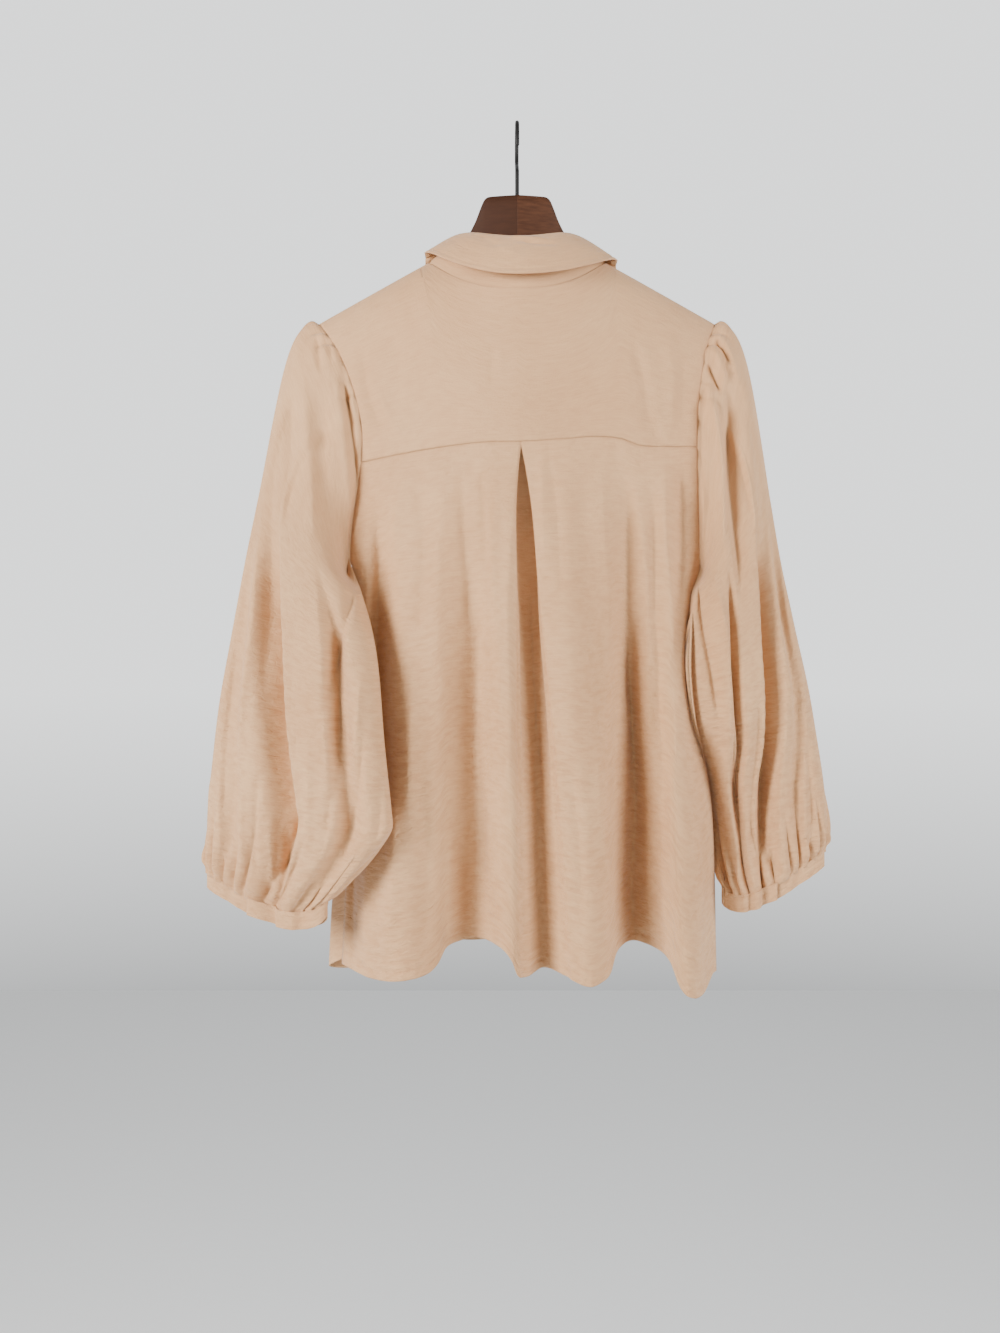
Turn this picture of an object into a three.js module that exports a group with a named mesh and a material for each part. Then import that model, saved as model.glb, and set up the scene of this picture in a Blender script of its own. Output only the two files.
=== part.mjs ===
// A loose blouse on a wooden hanger: collar on a stand, back yoke with an inverted pleat, buttoned
// front, and full sleeves gathered into narrow cuffs.
// Millimetres. +Z up, +Y out of the buttoned front, -Y out of the back, +X to the wearer's right.
// The origin is the top of the inside of the hook, where a rail carries it.
import * as THREE from "three";

// Driving sizes of the cloth
const CLOTH = 1.2; // wall of one layer
const CRISP = 1.6; // wall of the stiffened collar, stand and cuffs
const SEAM = 0.4; // gap between two pieces that are sewn edge to edge
const LAYER = 0.4; // gap between two pieces that lie on each other

// The shoulder line, which the hanger carries
const NECK_SIDE = { x: 95, z: -138 };
const SHOULDER_SLOPE = 0.5;
const TIP = { x: 202, forward: 26 };
const RIDGE_RADIUS = 8; // of the cloth over the hanger
const BACK_REACH = { middle: 44, lost: 13 }; // how far the back stands behind the shoulder line
const FRONT_REACH = { middle: 40, lost: 18 };
const REACH_AT = 170; // the x at which the whole of "lost" is gone
const ROUND_OFF = 30; // drop over which the cloth comes round the shoulder

// Levels
const YOKE_FRONT = 25; // how far the yoke runs down the front
const UNDERARM_Z = -438;
const HEM_Z = -826;
const FRONT_HEM_Z = -818;
const SIDE_SEAM_Y = 8;
const SIDE_SEAM_GAP = 1.3; // each face stops this far from the side seam's middle

// The armholes, as the cloth hangs: how far each face is drawn in below the shoulder tip
const ARMHOLES = {
  left: { side: -1, back: 62, front: 48, under: 166, fade: 72 },
  right: { side: 1, back: 25, front: 36, under: 184, fade: 45 },
};

// Outline of the body below the underarm
const BODY_SIDES = [
  { z: -438, left: -166, right: 184 },
  { z: -540, left: -167, right: 178 },
  { z: -620, left: -166, right: 184 },
  { z: -700, left: -162, right: 193 },
  { z: -860, left: -152, right: 200 },
];

// Folds of the back: x at the yoke and at the hem, half width, how far the fold stands out
// (or in, where negative) at the hem, and how much lower the hem hangs there
const BACK_FOLDS = [
  { yoke: -150, hem: -158, half: 36, out: 0, low: 15 },
  { yoke: -118, hem: -112, half: 50, out: 21, low: 12 },
  { yoke: -52, hem: -42, half: 44, out: -22, low: -12 },
  { yoke: -16, hem: -6, half: 34, out: 26, low: 9 },
  { yoke: 34, hem: 66, half: 44, out: 27, low: 11 },
  { yoke: 98, hem: 121, half: 42, out: -26, low: -7 },
  { yoke: 158, hem: 167, half: 33, out: 28, low: 24 },
];
const FRONT_FOLDS = [
  { yoke: -120, hem: -146, half: 48, out: 20, low: 34 },
  { yoke: -70, hem: -84, half: 42, out: -18, low: -4 },
  { yoke: -34, hem: -46, half: 30, out: 10, low: 4 },
  { yoke: 40, hem: 52, half: 30, out: 12, low: 4 },
  { yoke: 78, hem: 98, half: 44, out: -17, low: -2 },
  { yoke: 126, hem: 152, half: 44, out: 20, low: 10 },
];

// The inverted pleat below the yoke: share of the way to the hem, half the gap between its two
// edges, how far it is laid under them, and how deep its ground lies
const PLEAT_X = { yoke: 3, hem: 27 };
const PLEAT = [
  { down: 0, gap: 0.7, under: 20, deep: 3.6 },
  { down: 0.06, gap: 5, under: 14, deep: 6 },
  { down: 0.14, gap: 9, under: 5, deep: 12 },
  { down: 0.3, gap: 11, under: -3, deep: 17 },
  { down: 0.5, gap: 14, under: -6, deep: 18 },
  { down: 1, gap: 24, under: -10, deep: 16 },
];

// The yoke seam is drawn up and down by the cloth it carries
const YOKE_SEAM = [
  { x: -150, z: -337 },
  { x: -95, z: -329 },
  { x: -41, z: -323 },
  { x: 7, z: -322 },
  { x: 47, z: -319 },
  { x: 74, z: -316 },
  { x: 102, z: -317 },
  { x: 122, z: -323 },
  { x: 180, z: -321 },
];

const clamp = (t) => Math.min(1, Math.max(0, t));
const mix = (a, b, t) => a + (b - a) * t;
const ease = (from, to, t) => {
  const s = clamp((t - from) / (to - from));
  return s * s * (3 - 2 * s);
};
const bump = (t) => (Math.abs(t) < 1 ? 0.5 + 0.5 * Math.cos(Math.PI * t) : 0);
const degrees = (a) => (a * Math.PI) / 180;

// The value of a column at a key, on a smooth line through the table's rows
function row(table, key, at, column) {
  const sign = Math.sign(table[1][key] - table[0][key]);
  let i = 0;
  while (i < table.length - 2 && sign * (at - table[i + 1][key]) > 0) i++;
  const [a, b] = [table[i], table[i + 1]];
  const before = table[Math.max(i - 1, 0)];
  const after = table[Math.min(i + 2, table.length - 1)];
  const span = b[key] - a[key];
  const t = clamp((at - a[key]) / span);
  const slopeA = ((b[column] - before[column]) / (b[key] - before[key])) * span;
  const slopeB = ((after[column] - a[column]) / (after[key] - a[key])) * span;
  const [t2, t3] = [t * t, t * t * t];
  return (
    (2 * t3 - 3 * t2 + 1) * a[column] +
    (t3 - 2 * t2 + t) * slopeA +
    (3 * t2 - 2 * t3) * b[column] +
    (t3 - t2) * slopeB
  );
}

// A closed wall about a grid of points, half its thickness to each side. Where it is a tube, the
// last column joins the first.
function wall(grid, thickness, tube = false) {
  const rows = grid.length;
  const cols = grid[0].length;
  const wrap = (j) => (tube ? (j + cols) % cols : Math.min(cols - 1, Math.max(0, j)));
  const stay = (i) => Math.min(rows - 1, Math.max(0, i));
  const [outer, inner] = [[], []];
  const [across, down, normal] = [0, 1, 2].map(() => new THREE.Vector3());
  for (let i = 0; i < rows; i++)
    for (let j = 0; j < cols; j++) {
      across.subVectors(grid[i][wrap(j + 1)], grid[i][wrap(j - 1)]);
      down.subVectors(grid[stay(i + 1)][j], grid[stay(i - 1)][j]);
      normal.crossVectors(across, down).normalize();
      normal.multiplyScalar(thickness / 2);
      outer.push(grid[i][j].clone().add(normal));
      inner.push(grid[i][j].clone().sub(normal));
    }
  const points = outer.concat(inner);
  const faces = [];
  const quad = (a, b, c, d) => faces.push(a, b, c, a, c, d);
  const back = rows * cols;
  const spans = tube ? cols : cols - 1;
  for (let i = 0; i < rows - 1; i++)
    for (let j = 0; j < spans; j++) {
      const [a, b] = [i * cols + j, i * cols + wrap(j + 1)];
      const [d, c] = [a + cols, b + cols];
      quad(a, b, c, d);
      quad(back + a, back + d, back + c, back + b);
    }
  for (let j = 0; j < spans; j++) {
    const [a, b] = [j, wrap(j + 1)];
    quad(b, a, back + a, back + b);
    const [c, d] = [(rows - 1) * cols + a, (rows - 1) * cols + b];
    quad(c, d, back + d, back + c);
  }
  if (!tube)
    for (let i = 0; i < rows - 1; i++) {
      const [a, b] = [i * cols, (i + 1) * cols];
      quad(a, b, back + b, back + a);
      const [c, d] = [a + cols - 1, b + cols - 1];
      quad(d, c, back + c, back + d);
    }
  return solid(points, faces);
}

// Indexed geometry, turned to face out
function solid(points, faces) {
  const volume = (a, b, c) => a.dot(new THREE.Vector3().crossVectors(b, c));
  let total = 0;
  for (let i = 0; i < faces.length; i += 3)
    total += volume(points[faces[i]], points[faces[i + 1]], points[faces[i + 2]]);
  const turned = total < 0 ? faces.slice().reverse() : faces;
  const geometry = new THREE.BufferGeometry().setFromPoints(points);
  geometry.setIndex(turned);
  geometry.computeVertexNormals();
  return geometry;
}

// The shoulder line and the plain body surface, before any fold
const shoulderZ = (x) => NECK_SIDE.z - SHOULDER_SLOPE * (Math.abs(x) - NECK_SIDE.x);
const shoulderY = (x) => TIP.forward * (Math.abs(x) / TIP.x) ** 1.4;
const dropAt = (along) => Math.hypot(along, RIDGE_RADIUS) - RIDGE_RADIUS;
const alongAt = (drop) => Math.sqrt((Math.max(drop, 0) + RIDGE_RADIUS) ** 2 - RIDGE_RADIUS ** 2);

// y at a distance along the cloth from the shoulder line, back (negative) or front
function yAlong(x, along) {
  const reach = along > 0 ? BACK_REACH : FRONT_REACH;
  const depth = reach.middle - reach.lost * (x / REACH_AT) ** 2;
  return shoulderY(x) - Math.sign(along) * depth * (1 - Math.exp(-Math.abs(along) / ROUND_OFF));
}

// face is 1 for the back and -1 for the front
const plainY = (x, z, face) => yAlong(x, face * alongAt(shoulderZ(x) - z) || face * 1e-6);

// x of an armhole's edge at a level
function armholeX(arm, face, z) {
  const tipZ = shoulderZ(TIP.x);
  const inset = face > 0 ? arm.back : arm.front;
  const drawn = inset * (1 - Math.exp(-Math.max(tipZ - z, 0) / arm.fade));
  const back = (arm.under - (TIP.x - inset)) * ease(tipZ - 100, UNDERARM_Z, z);
  return arm.side * (TIP.x - drawn + back);
}

// x of a side of the body at a level, from the shoulder tip to the hem
function sideX(arm, face, z) {
  if (z > UNDERARM_Z) return armholeX(arm, face, z);
  return row(BODY_SIDES, "z", z, arm.side < 0 ? "left" : "right");
}

// The body surface with its sides drawn together towards the side seams
function bodyY(x, z, face) {
  const arm = x < 0 ? ARMHOLES.left : ARMHOLES.right;
  const edge = Math.abs(sideX(arm, face, Math.max(z, -860)));
  const power = mix(5, 9, ease(UNDERARM_Z, HEM_Z, z));
  const close = ease(-300, UNDERARM_Z, z) * clamp(Math.abs(x) / edge) ** power;
  const down = ease(-380, HEM_Z, z);
  const plain = mix(plainY(x, z, face), face > 0 ? -34 : 30, down);
  return mix(plain, SIDE_SEAM_Y - face * SIDE_SEAM_GAP, close);
}

// Sum of a table of folds at x, a share of the way down to the hem
function folds(table, column, x, down) {
  let total = 0;
  for (const fold of table) {
    const at = mix(fold.yoke, fold.hem, down);
    total += fold[column] * bump((x - at) / fold.half);
  }
  return total;
}
const backEdge = (x, z) => {
  const arm = x < 0 ? ARMHOLES.left : ARMHOLES.right;
  return 1 - clamp(x / sideX(arm, 1, Math.max(z, -860))) ** 14;
};
const grown = (down) => down ** 0.85;
const yokeZ = (x) => row(YOKE_SEAM, "x", x, "z");
const backHemZ = (x) => HEM_Z - folds(BACK_FOLDS, "low", x, 1);
const frontHemZ = (x) => FRONT_HEM_Z - folds(FRONT_FOLDS, "low", x, 1);

// The back below the yoke: rows from the seam to the hem; the pleat's columns double back
const YOKE_SEAM_GAP = 0.8;
const BACK_ROWS = 13;
const BACK_LEFT_COLUMNS = 16;
const BACK_RIGHT_COLUMNS = 18;

function backRow(down) {
  const pleat = (column) => row(PLEAT, "down", down, column);
  const [gap, under, deep] = ["gap", "under", "deep"].map(pleat);
  const middle = mix(PLEAT_X.yoke, PLEAT_X.hem, down);
  const point = (x, inward = 0, faceX = x) => {
    const top = yokeZ(faceX) - YOKE_SEAM_GAP;
    const z = mix(top, backHemZ(faceX), down);
    const stand = folds(BACK_FOLDS, "out", faceX, down) * grown(down) * backEdge(faceX, z);
    return new THREE.Vector3(x, bodyY(faceX, z, 1) - stand + inward, z);
  };
  const top = mix(yokeZ(-150) - YOKE_SEAM_GAP, backHemZ(-170), down);
  const left = sideX(ARMHOLES.left, 1, top);
  const right = sideX(ARMHOLES.right, 1, mix(yokeZ(178) - YOKE_SEAM_GAP, backHemZ(188), down));
  const [edgeL, edgeR] = [middle - gap, middle + gap];
  const points = [];
  for (let i = 0; i < BACK_LEFT_COLUMNS; i++)
    points.push(point(mix(left + SEAM / 2, edgeL - 1.5, i / (BACK_LEFT_COLUMNS - 1))));
  const fold = (x, inward, faceX) => points.push(point(x, inward * deep, faceX));
  fold(edgeL, 0.12, edgeL);
  fold(edgeL, 0.36, edgeL);
  fold(edgeL - under + 1, 0.48, edgeL);
  fold(edgeL - under, 0.72, edgeL);
  fold(edgeL - under + 1.5, 0.96, edgeL);
  fold(middle, 1, edgeL);
  fold(edgeR + under - 1.5, 0.96, edgeR);
  fold(edgeR + under, 0.72, edgeR);
  fold(edgeR + under - 1, 0.48, edgeR);
  fold(edgeR, 0.36, edgeR);
  fold(edgeR, 0.12, edgeR);
  for (let i = 0; i < BACK_RIGHT_COLUMNS; i++)
    points.push(point(mix(edgeR + 1.5, right - SEAM / 2, i / (BACK_RIGHT_COLUMNS - 1))));
  return points;
}

function back() {
  const grid = [];
  for (let i = 0; i < BACK_ROWS; i++) grid.push(backRow((i / (BACK_ROWS - 1)) ** 1.15));
  return wall(grid, CLOTH);
}

// A grid between four edges: each edge is a function of 0 to 1 that gives a pair of numbers; the
// shares tell how far down each row lies
function between(top, bottom, left, right, shares, cols, place) {
  const grid = [];
  for (const w of shares) {
    const line = [];
    for (let j = 0; j < cols; j++) {
      const u = j / (cols - 1);
      const pair = [0, 1].map(
        (k) =>
          mix(top(u)[k], bottom(u)[k], w) +
          mix(left(w)[k], right(w)[k], u) -
          mix(mix(top(0)[k], top(1)[k], u), mix(bottom(0)[k], bottom(1)[k], u), w),
      );
      line.push(place(...pair));
    }
    grid.push(line);
  }
  return grid;
}

// The neck seam, as x and z: low at the back, lower at the front
const NECK = { half: 90, backZ: -174, sideZ: -135.5, frontZ: -222 };
const neckBackZ = (x) => mix(NECK.backZ, NECK.sideZ, (Math.abs(x) / NECK.half) ** 2.5);
const neckFrontZ = (x) => mix(NECK.frontZ, NECK.sideZ, (x / NECK.half) ** 2);
const YOKE_NECK_X = 87; // where the yoke's front edge meets the neck seam

// The yoke's upper edge from the left shoulder round the neck to the right, as x and the distance
// along the cloth from the shoulder line
function yokeTop(u) {
  const shoulder = 0.2; // share of the columns on each shoulder
  const side = u < 0.5 ? -1 : 1;
  const s = Math.min(u, 1 - u);
  const arm = side < 0 ? ARMHOLES.left : ARMHOLES.right;
  if (s < shoulder)
    return [side * mix(Math.abs(armholeAlong(arm, -YOKE_FRONT)), YOKE_NECK_X, s / shoulder), -YOKE_FRONT];
  const around = (s - shoulder) / (0.5 - shoulder);
  const front = 0.3; // share of the neck edge that lies on the front
  if (around < front) {
    const t = around / front;
    return [side * mix(YOKE_NECK_X, NECK.half, Math.sin((t * Math.PI) / 2)), -YOKE_FRONT * (1 - t)];
  }
  const x = side * NECK.half * Math.cos((((around - front) / (1 - front)) * Math.PI) / 2);
  return [x, alongAt(shoulderZ(x) - neckBackZ(x))];
}

// x of the armhole's edge where it is this far along the cloth from the shoulder line
function armholeAlong(arm, along) {
  const face = along > 0 ? 1 : -1;
  let x = arm.side * TIP.x;
  for (let i = 0; i < 12; i++) x = armholeX(arm, face, shoulderZ(x) - dropAt(along));
  return x;
}

// Distances along the cloth from the shoulder line at which the yoke has a row, down to its seam
const YOKE_ROWS = [-YOKE_FRONT, -13, -6, -1, 4, 10, 20, 44, 85, 130];

function yoke() {
  const ends = { left: armholeEnd(ARMHOLES.left), right: armholeEnd(ARMHOLES.right) };
  const bottom = (u) => {
    const x = mix(ends.left.x, ends.right.x, u);
    return [x, alongAt(shoulderZ(x) - yokeZ(x) - SEAM / 2)];
  };
  const length = (ends.left.along + ends.right.along) / 2;
  const shares = YOKE_ROWS.map((along) => (along + YOKE_FRONT) / (length + YOKE_FRONT)).concat(1);
  const side = (arm, end) => (w) => {
    const along = mix(-YOKE_FRONT, end.along, w);
    return [armholeAlong(arm, along) - (arm.side * SEAM) / 2, along];
  };
  const place = (x, along) => {
    const z = shoulderZ(x) - dropAt(along);
    const y = along > 0 ? bodyY(x, z, 1) : yAlong(x, along || 1e-6);
    return new THREE.Vector3(x, y, z);
  };
  return wall(
    between(
      yokeTop,
      bottom,
      side(ARMHOLES.left, ends.left),
      side(ARMHOLES.right, ends.right),
      shares,
      35,
      place,
    ),
    CLOTH,
  );
}

// Where the yoke seam meets the armhole
function armholeEnd(arm) {
  const z = yokeZ(arm.side < 0 ? -150 : 178) - SEAM / 2;
  const x = armholeX(arm, 1, z);
  return { x, along: alongAt(shoulderZ(x) - z) };
}

// Low down, each front swings out past its side seam before it turns to the front
const SIDE_SWING = { left: 62, right: 12, width: 22, from: -500, to: -800 };

// A front: its upper edge is the shoulder seam and then the neck seam, down to the front edge
const CENTRE_X = 3;
const BAND = 28; // width of the button band
const TUCK = 24; // where the under front starts to lie below the other

function frontY(x, z) {
  const top = Math.min(shoulderZ(x) - dropAt(YOKE_FRONT), neckFrontZ(Math.min(Math.abs(x), NECK.half)));
  const down = clamp((z - top) / (frontHemZ(x) - top));
  const arm = x < 0 ? ARMHOLES.left : ARMHOLES.right;
  const edge = 1 - clamp(x / sideX(arm, -1, Math.max(z, -860))) ** 14;
  return bodyY(x, z, -1) + folds(FRONT_FOLDS, "out", x, down) * down * edge;
}

function front(arm, under) {
  const s = arm.side;
  const edgeX = CENTRE_X - (s * BAND) / 2; // the free edge, past the centre
  const shoulder = 0.5; // share of the columns on the shoulder seam
  const shoulderSeamZ = (x) => shoulderZ(x) - dropAt(YOKE_FRONT) - SEAM;
  const seamX = Math.abs(armholeAlong(arm, -YOKE_FRONT));
  const reach = Math.abs(edgeX);
  const top = (u) => {
    if (u < shoulder) {
      const x = s * mix(seamX, YOKE_NECK_X, u / shoulder);
      return [x, shoulderSeamZ(x)];
    }
    const t = (u - shoulder) / (1 - shoulder);
    const x = mix(s * YOKE_NECK_X, edgeX, Math.sin((t * Math.PI) / 2));
    const seam = neckFrontZ(x);
    return [x, Math.min(seam, mix(shoulderSeamZ(s * YOKE_NECK_X), seam, clamp(t * 6))) - SEAM / 2];
  };
  const hemX = sideX(arm, -1, FRONT_HEM_Z) - (s * SEAM) / 2;
  const bottom = (u) => {
    const x = mix(hemX, edgeX, u);
    return [x, frontHemZ(x)];
  };
  const outer = (w) => {
    const z = mix(top(0)[1], frontHemZ(hemX), w);
    return [sideX(arm, -1, z) - (s * SEAM) / 2, z];
  };
  const inner = (w) => [edgeX, mix(top(1)[1], frontHemZ(edgeX), w)];
  const below = (x) => (under ? ease(CENTRE_X + s * (reach + TUCK), CENTRE_X + s * reach, x) : 0);
  const place = (x, z) => {
    const inside = Math.abs(sideX(arm, -1, z)) - SIDE_SWING.width - Math.abs(x);
    const low = ease(SIDE_SWING.from, SIDE_SWING.to, z);
    const swing = SIDE_SWING[s < 0 ? "left" : "right"] * low * bump(inside / SIDE_SWING.width);
    return new THREE.Vector3(x + s * swing, frontY(x, z) - below(x) * (CLOTH + LAYER), z);
  };
  const shares = Array.from({ length: 15 }, (_, i) => (i / 14) ** 1.35);
  return wall(between(top, bottom, outer, inner, shares, 20, place), CLOTH);
}

const bandY = (x, z) => frontY(x, z) + CLOTH / 2 + LAYER + BAND_WALL / 2;
const BAND_WALL = 1;
function buttonBand() {
  const grid = [];
  for (let i = 0; i < 15; i++) {
    const line = [];
    for (let j = 0; j < 4; j++) {
      const x = CENTRE_X + mix(-BAND / 2, BAND / 2, j / 3);
      const z = mix(neckFrontZ(x) - SEAM, frontHemZ(x), i / 14);
      line.push(new THREE.Vector3(x, bandY(x, z), z));
    }
    grid.push(line);
  }
  return wall(grid, BAND_WALL);
}

// Round the neck, from the front by the wearer's right: the seam, the fold of the collar and its
// outer edge
const FOLD = { halfX: 56, halfY: 36, backZ: -125, sideZ: -114, frontZ: -186 };
const LEAF = { backZ: -166, pointZ: -255, wide: 0.5 };
const LEAF_SIDES = { left: { half: 91, z: -129 }, right: { half: 99, z: -136.5 } };
const NECK_SEAM_GAP = 1.2;
const STAND_OVERLAP = degrees(10);
const LEAF_OPEN = degrees(15);

function neckSeam(angle) {
  const x = NECK.half * Math.sin(angle);
  const face = Math.cos(angle) > 0 ? -1 : 1;
  const z = (face > 0 ? neckBackZ(x) : neckFrontZ(x)) + NECK_SEAM_GAP;
  return new THREE.Vector3(x, plainY(x, Math.min(z, shoulderZ(x)), face), z);
}

function collarFold(angle) {
  const [s, c] = [Math.sin(angle), Math.cos(angle)];
  const z = mix(FOLD.sideZ, c > 0 ? FOLD.frontZ : FOLD.backZ, Math.abs(c) ** 2.6);
  return new THREE.Vector3(FOLD.halfX * s, FOLD.halfY * c, z);
}

function leafEdge(angle) {
  const [s, c] = [Math.sin(angle), Math.cos(angle)];
  const side = s < 0 ? LEAF_SIDES.left : LEAF_SIDES.right;
  const x = side.half * s * (1 + LEAF.wide * Math.max(0, c) ** 2);
  const z = c > 0 ? mix(side.z, LEAF.pointZ, c ** 1.25) : mix(LEAF.backZ, side.z, s * s);
  const body = plainY(x, Math.min(z, shoulderZ(x)), c > 0 ? -1 : 1);
  const y = c > 0 ? Math.max(body + 7, 14) : Math.min(body - 8, 52 * c + 6 * (1 + c));
  return new THREE.Vector3(x, y, z);
}

function stand() {
  const rows = 4;
  const cols = 40;
  const grid = [];
  for (let i = 0; i < rows; i++) {
    const line = [];
    for (let j = 0; j < cols; j++) {
      const angle = mix(-STAND_OVERLAP, 2 * Math.PI + STAND_OVERLAP, j / (cols - 1));
      const layer = mix(0.5, -0.5, clamp((angle - Math.PI) / 1.5 + 0.5)) * (CRISP + LAYER);
      const point = neckSeam(angle).lerp(collarFold(angle), i / (rows - 1));
      point.y += layer * Math.max(0, Math.cos(angle));
      line.push(point);
    }
    grid.push(line);
  }
  return wall(grid, CRISP);
}

// The leaf rolls over the top of the stand and stays clear of the stand and of the body
function collar() {
  const rows = 7;
  const cols = 40;
  const grid = [];
  for (let i = 0; i < rows; i++) {
    const line = [];
    const t = (i / (rows - 1)) ** 1.35;
    for (let j = 0; j < cols; j++) {
      const angle = mix(LEAF_OPEN, 2 * Math.PI - LEAF_OPEN, j / (cols - 1));
      const fold = collarFold(angle);
      fold.z += CRISP + LAYER + 1;
      const edge = leafEdge(angle);
      const fall = edge.clone().sub(fold);
      const flat = new THREE.Vector3(fall.x, fall.y, 0).normalize();
      const away = flat.multiplyScalar(-fall.z).setZ(Math.hypot(fall.x, fall.y)).normalize();
      const behind = Math.abs(Math.cos(angle)) ** 1.5;
      const roll = mix(0.4, 2.6, behind) * Math.sin(Math.PI * t);
      const stand = mix(3, 3.8, behind) * (1 - (1 - t) ** 7) + roll;
      const point = fold.lerp(edge, t).addScaledVector(away, stand);
      if (point.z < shoulderZ(point.x)) {
        const face = Math.cos(angle) > 0 ? -1 : 1;
        const clear = plainY(point.x, point.z, face) - face * 4;
        point.y = face > 0 ? Math.min(point.y, clear) : Math.max(point.y, clear);
      }
      line.push(point);
    }
    grid.push(line);
  }
  return wall(grid, CRISP);
}

// The sleeves as they hang, flat: rows from the full part to the cuff with the outer and the inner
// edge, half the thickness between, and how far the middle sags below both edges
const SLEEVES = {
  left: {
    arm: ARMHOLES.left,
    rows: [
      { d: 0, outX: -258, outZ: -372, outY: 16, inX: -163, inZ: -470, inY: -26, half: 30, sag: 0 },
      { d: 0.15, outX: -269, outZ: -432, outY: 12, inX: -147, inZ: -506, inY: -44, half: 32, sag: 0 },
      { d: 0.3, outX: -280, outZ: -492, outY: 8, inX: -136, inZ: -545, inY: -56, half: 31, sag: 0 },
      { d: 0.5, outX: -295, outZ: -575, outY: 4, inX: -129, inZ: -613, inY: -64, half: 29, sag: 0 },
      { d: 0.7, outX: -304, outZ: -650, outY: 2, inX: -122, inZ: -680, inY: -69, half: 27, sag: 4 },
      { d: 0.85, outX: -308, outZ: -702, outY: 0, inX: -143, inZ: -728, inY: -60, half: 20, sag: 12 },
      { d: 1, outX: -308, outZ: -741, outY: 0, inX: -185, inZ: -762, inY: -44, half: 11.5, sag: 19 },
    ],
    folds: [
      { face: 1, top: 0.68, bottom: 0.54, half: 0.09, deep: 24 },
      { face: 1, top: 0.08, bottom: 0.3, half: 0.12, deep: 12 },
      { face: 1, top: 0.86, bottom: 0.8, half: 0.1, deep: 5 },
      { face: -1, top: 0.35, bottom: 0.42, half: 0.12, deep: 16 },
      { face: -1, top: 0.72, bottom: 0.68, half: 0.1, deep: 13 },
    ],
    slit: 0.5,
  },
  right: {
    arm: ARMHOLES.right,
    rows: [
      { d: 0, outX: 253, outZ: -372, outY: 16, inX: 185, inZ: -470, inY: -4, half: 28, sag: 0 },
      { d: 0.15, outX: 262, outZ: -432, outY: 14, inX: 182, inZ: -500, inY: -16, half: 30, sag: 0 },
      { d: 0.3, outX: 274, outZ: -492, outY: 12, inX: 176, inZ: -545, inY: -26, half: 30, sag: 0 },
      { d: 0.5, outX: 294, outZ: -575, outY: 8, inX: 188, inZ: -612, inY: -24, half: 30, sag: 0 },
      { d: 0.7, outX: 306, outZ: -648, outY: 4, inX: 200, inZ: -670, inY: -12, half: 27, sag: 3 },
      { d: 0.85, outX: 309, outZ: -690, outY: 0, inX: 208, inZ: -717, inY: -6, half: 20, sag: 9 },
      { d: 1, outX: 306, outZ: -720, outY: 0, inX: 208, inZ: -757, inY: -4, half: 11.5, sag: 16 },
    ],
    folds: [
      { face: 1, top: 0.6, bottom: 0.42, half: 0.1, deep: 22 },
      { face: 1, top: 0.06, bottom: 0.16, half: 0.1, deep: 19 },
      { face: 1, top: 0.86, bottom: 0.74, half: 0.09, deep: 7 },
      { face: -1, top: 0.38, bottom: 0.46, half: 0.12, deep: 15 },
      { face: -1, top: 0.74, bottom: 0.72, half: 0.1, deep: 12 },
    ],
    slit: 0.56,
  },
};
const SLEEVE_COLUMNS = 48; // one rise and one dip of each gather
const HEAD_ROWS = 6;
const ARM_ROWS = 11;
const GATHER = { cuff: 2.8, cuffFrom: 0.74, head: 1.7 };

// A point of a sleeve; round is 0 at the outer edge, a quarter at the back and a half at the inner
function sleevePoint(sleeve, d, round, out = 0) {
  const at = (column) => row(sleeve.rows, "d", d, column);
  const angle = 2 * Math.PI * round;
  const across = (1 + Math.cos(angle)) / 2; // 0 at the inner edge, 1 at the outer edge
  const face = Math.sin(angle) >= 0 ? 1 : -1;
  const [outX, outY, inX, inY] = ["outX", "outY", "inX", "inY"].map(at);
  const half = at("half");
  let stand = half * Math.abs(Math.sin(angle)) ** 0.8;
  for (const fold of sleeve.folds) {
    if (fold.face !== face) continue;
    const off = (across - mix(fold.top, fold.bottom, d)) / fold.half;
    stand -= fold.deep * bump(off) * Math.min(1, (half / 28) ** 1.5);
  }
  const side = new THREE.Vector3(outY - inY, inX - outX, 0).normalize();
  if (side.y > 0) side.negate();
  const z = mix(at("inZ"), at("outZ"), across) - at("sag") * Math.sin(Math.PI * across ** 0.6);
  const point = new THREE.Vector3(mix(inX, outX, across), mix(inY, outY, across), z);
  const end = new THREE.Vector3(Math.cos(angle) * Math.sign(outX), 0, 0);
  const normal = side.clone().multiplyScalar(Math.sin(angle)).add(end).normalize();
  return point.addScaledVector(side, stand * face).addScaledVector(normal, out);
}

const ARMHOLE_GAP = 1; // from the body's edges to the sleeve's ring
// The armhole as a ring: down the back from the shoulder tip to the underarm and up the front
function armholePoint(arm, round) {
  const face = round <= 0.5 ? 1 : -1;
  const f = round <= 0.5 ? round * 2 : (1 - round) * 2;
  const tipZ = shoulderZ(TIP.x);
  const z = mix(tipZ, UNDERARM_Z, (1 - Math.cos(Math.PI * f)) / 2) - 0.01;
  const x = armholeX(arm, face, z) + arm.side * ARMHOLE_GAP;
  if (f > 0.999) return new THREE.Vector3(x, SIDE_SEAM_Y, z);
  const top = Math.max(shoulderZ(x) - z, 0);
  const y = top < 0.02 ? shoulderY(x) : bodyY(x, z, face);
  return new THREE.Vector3(x, y, z);
}

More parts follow.
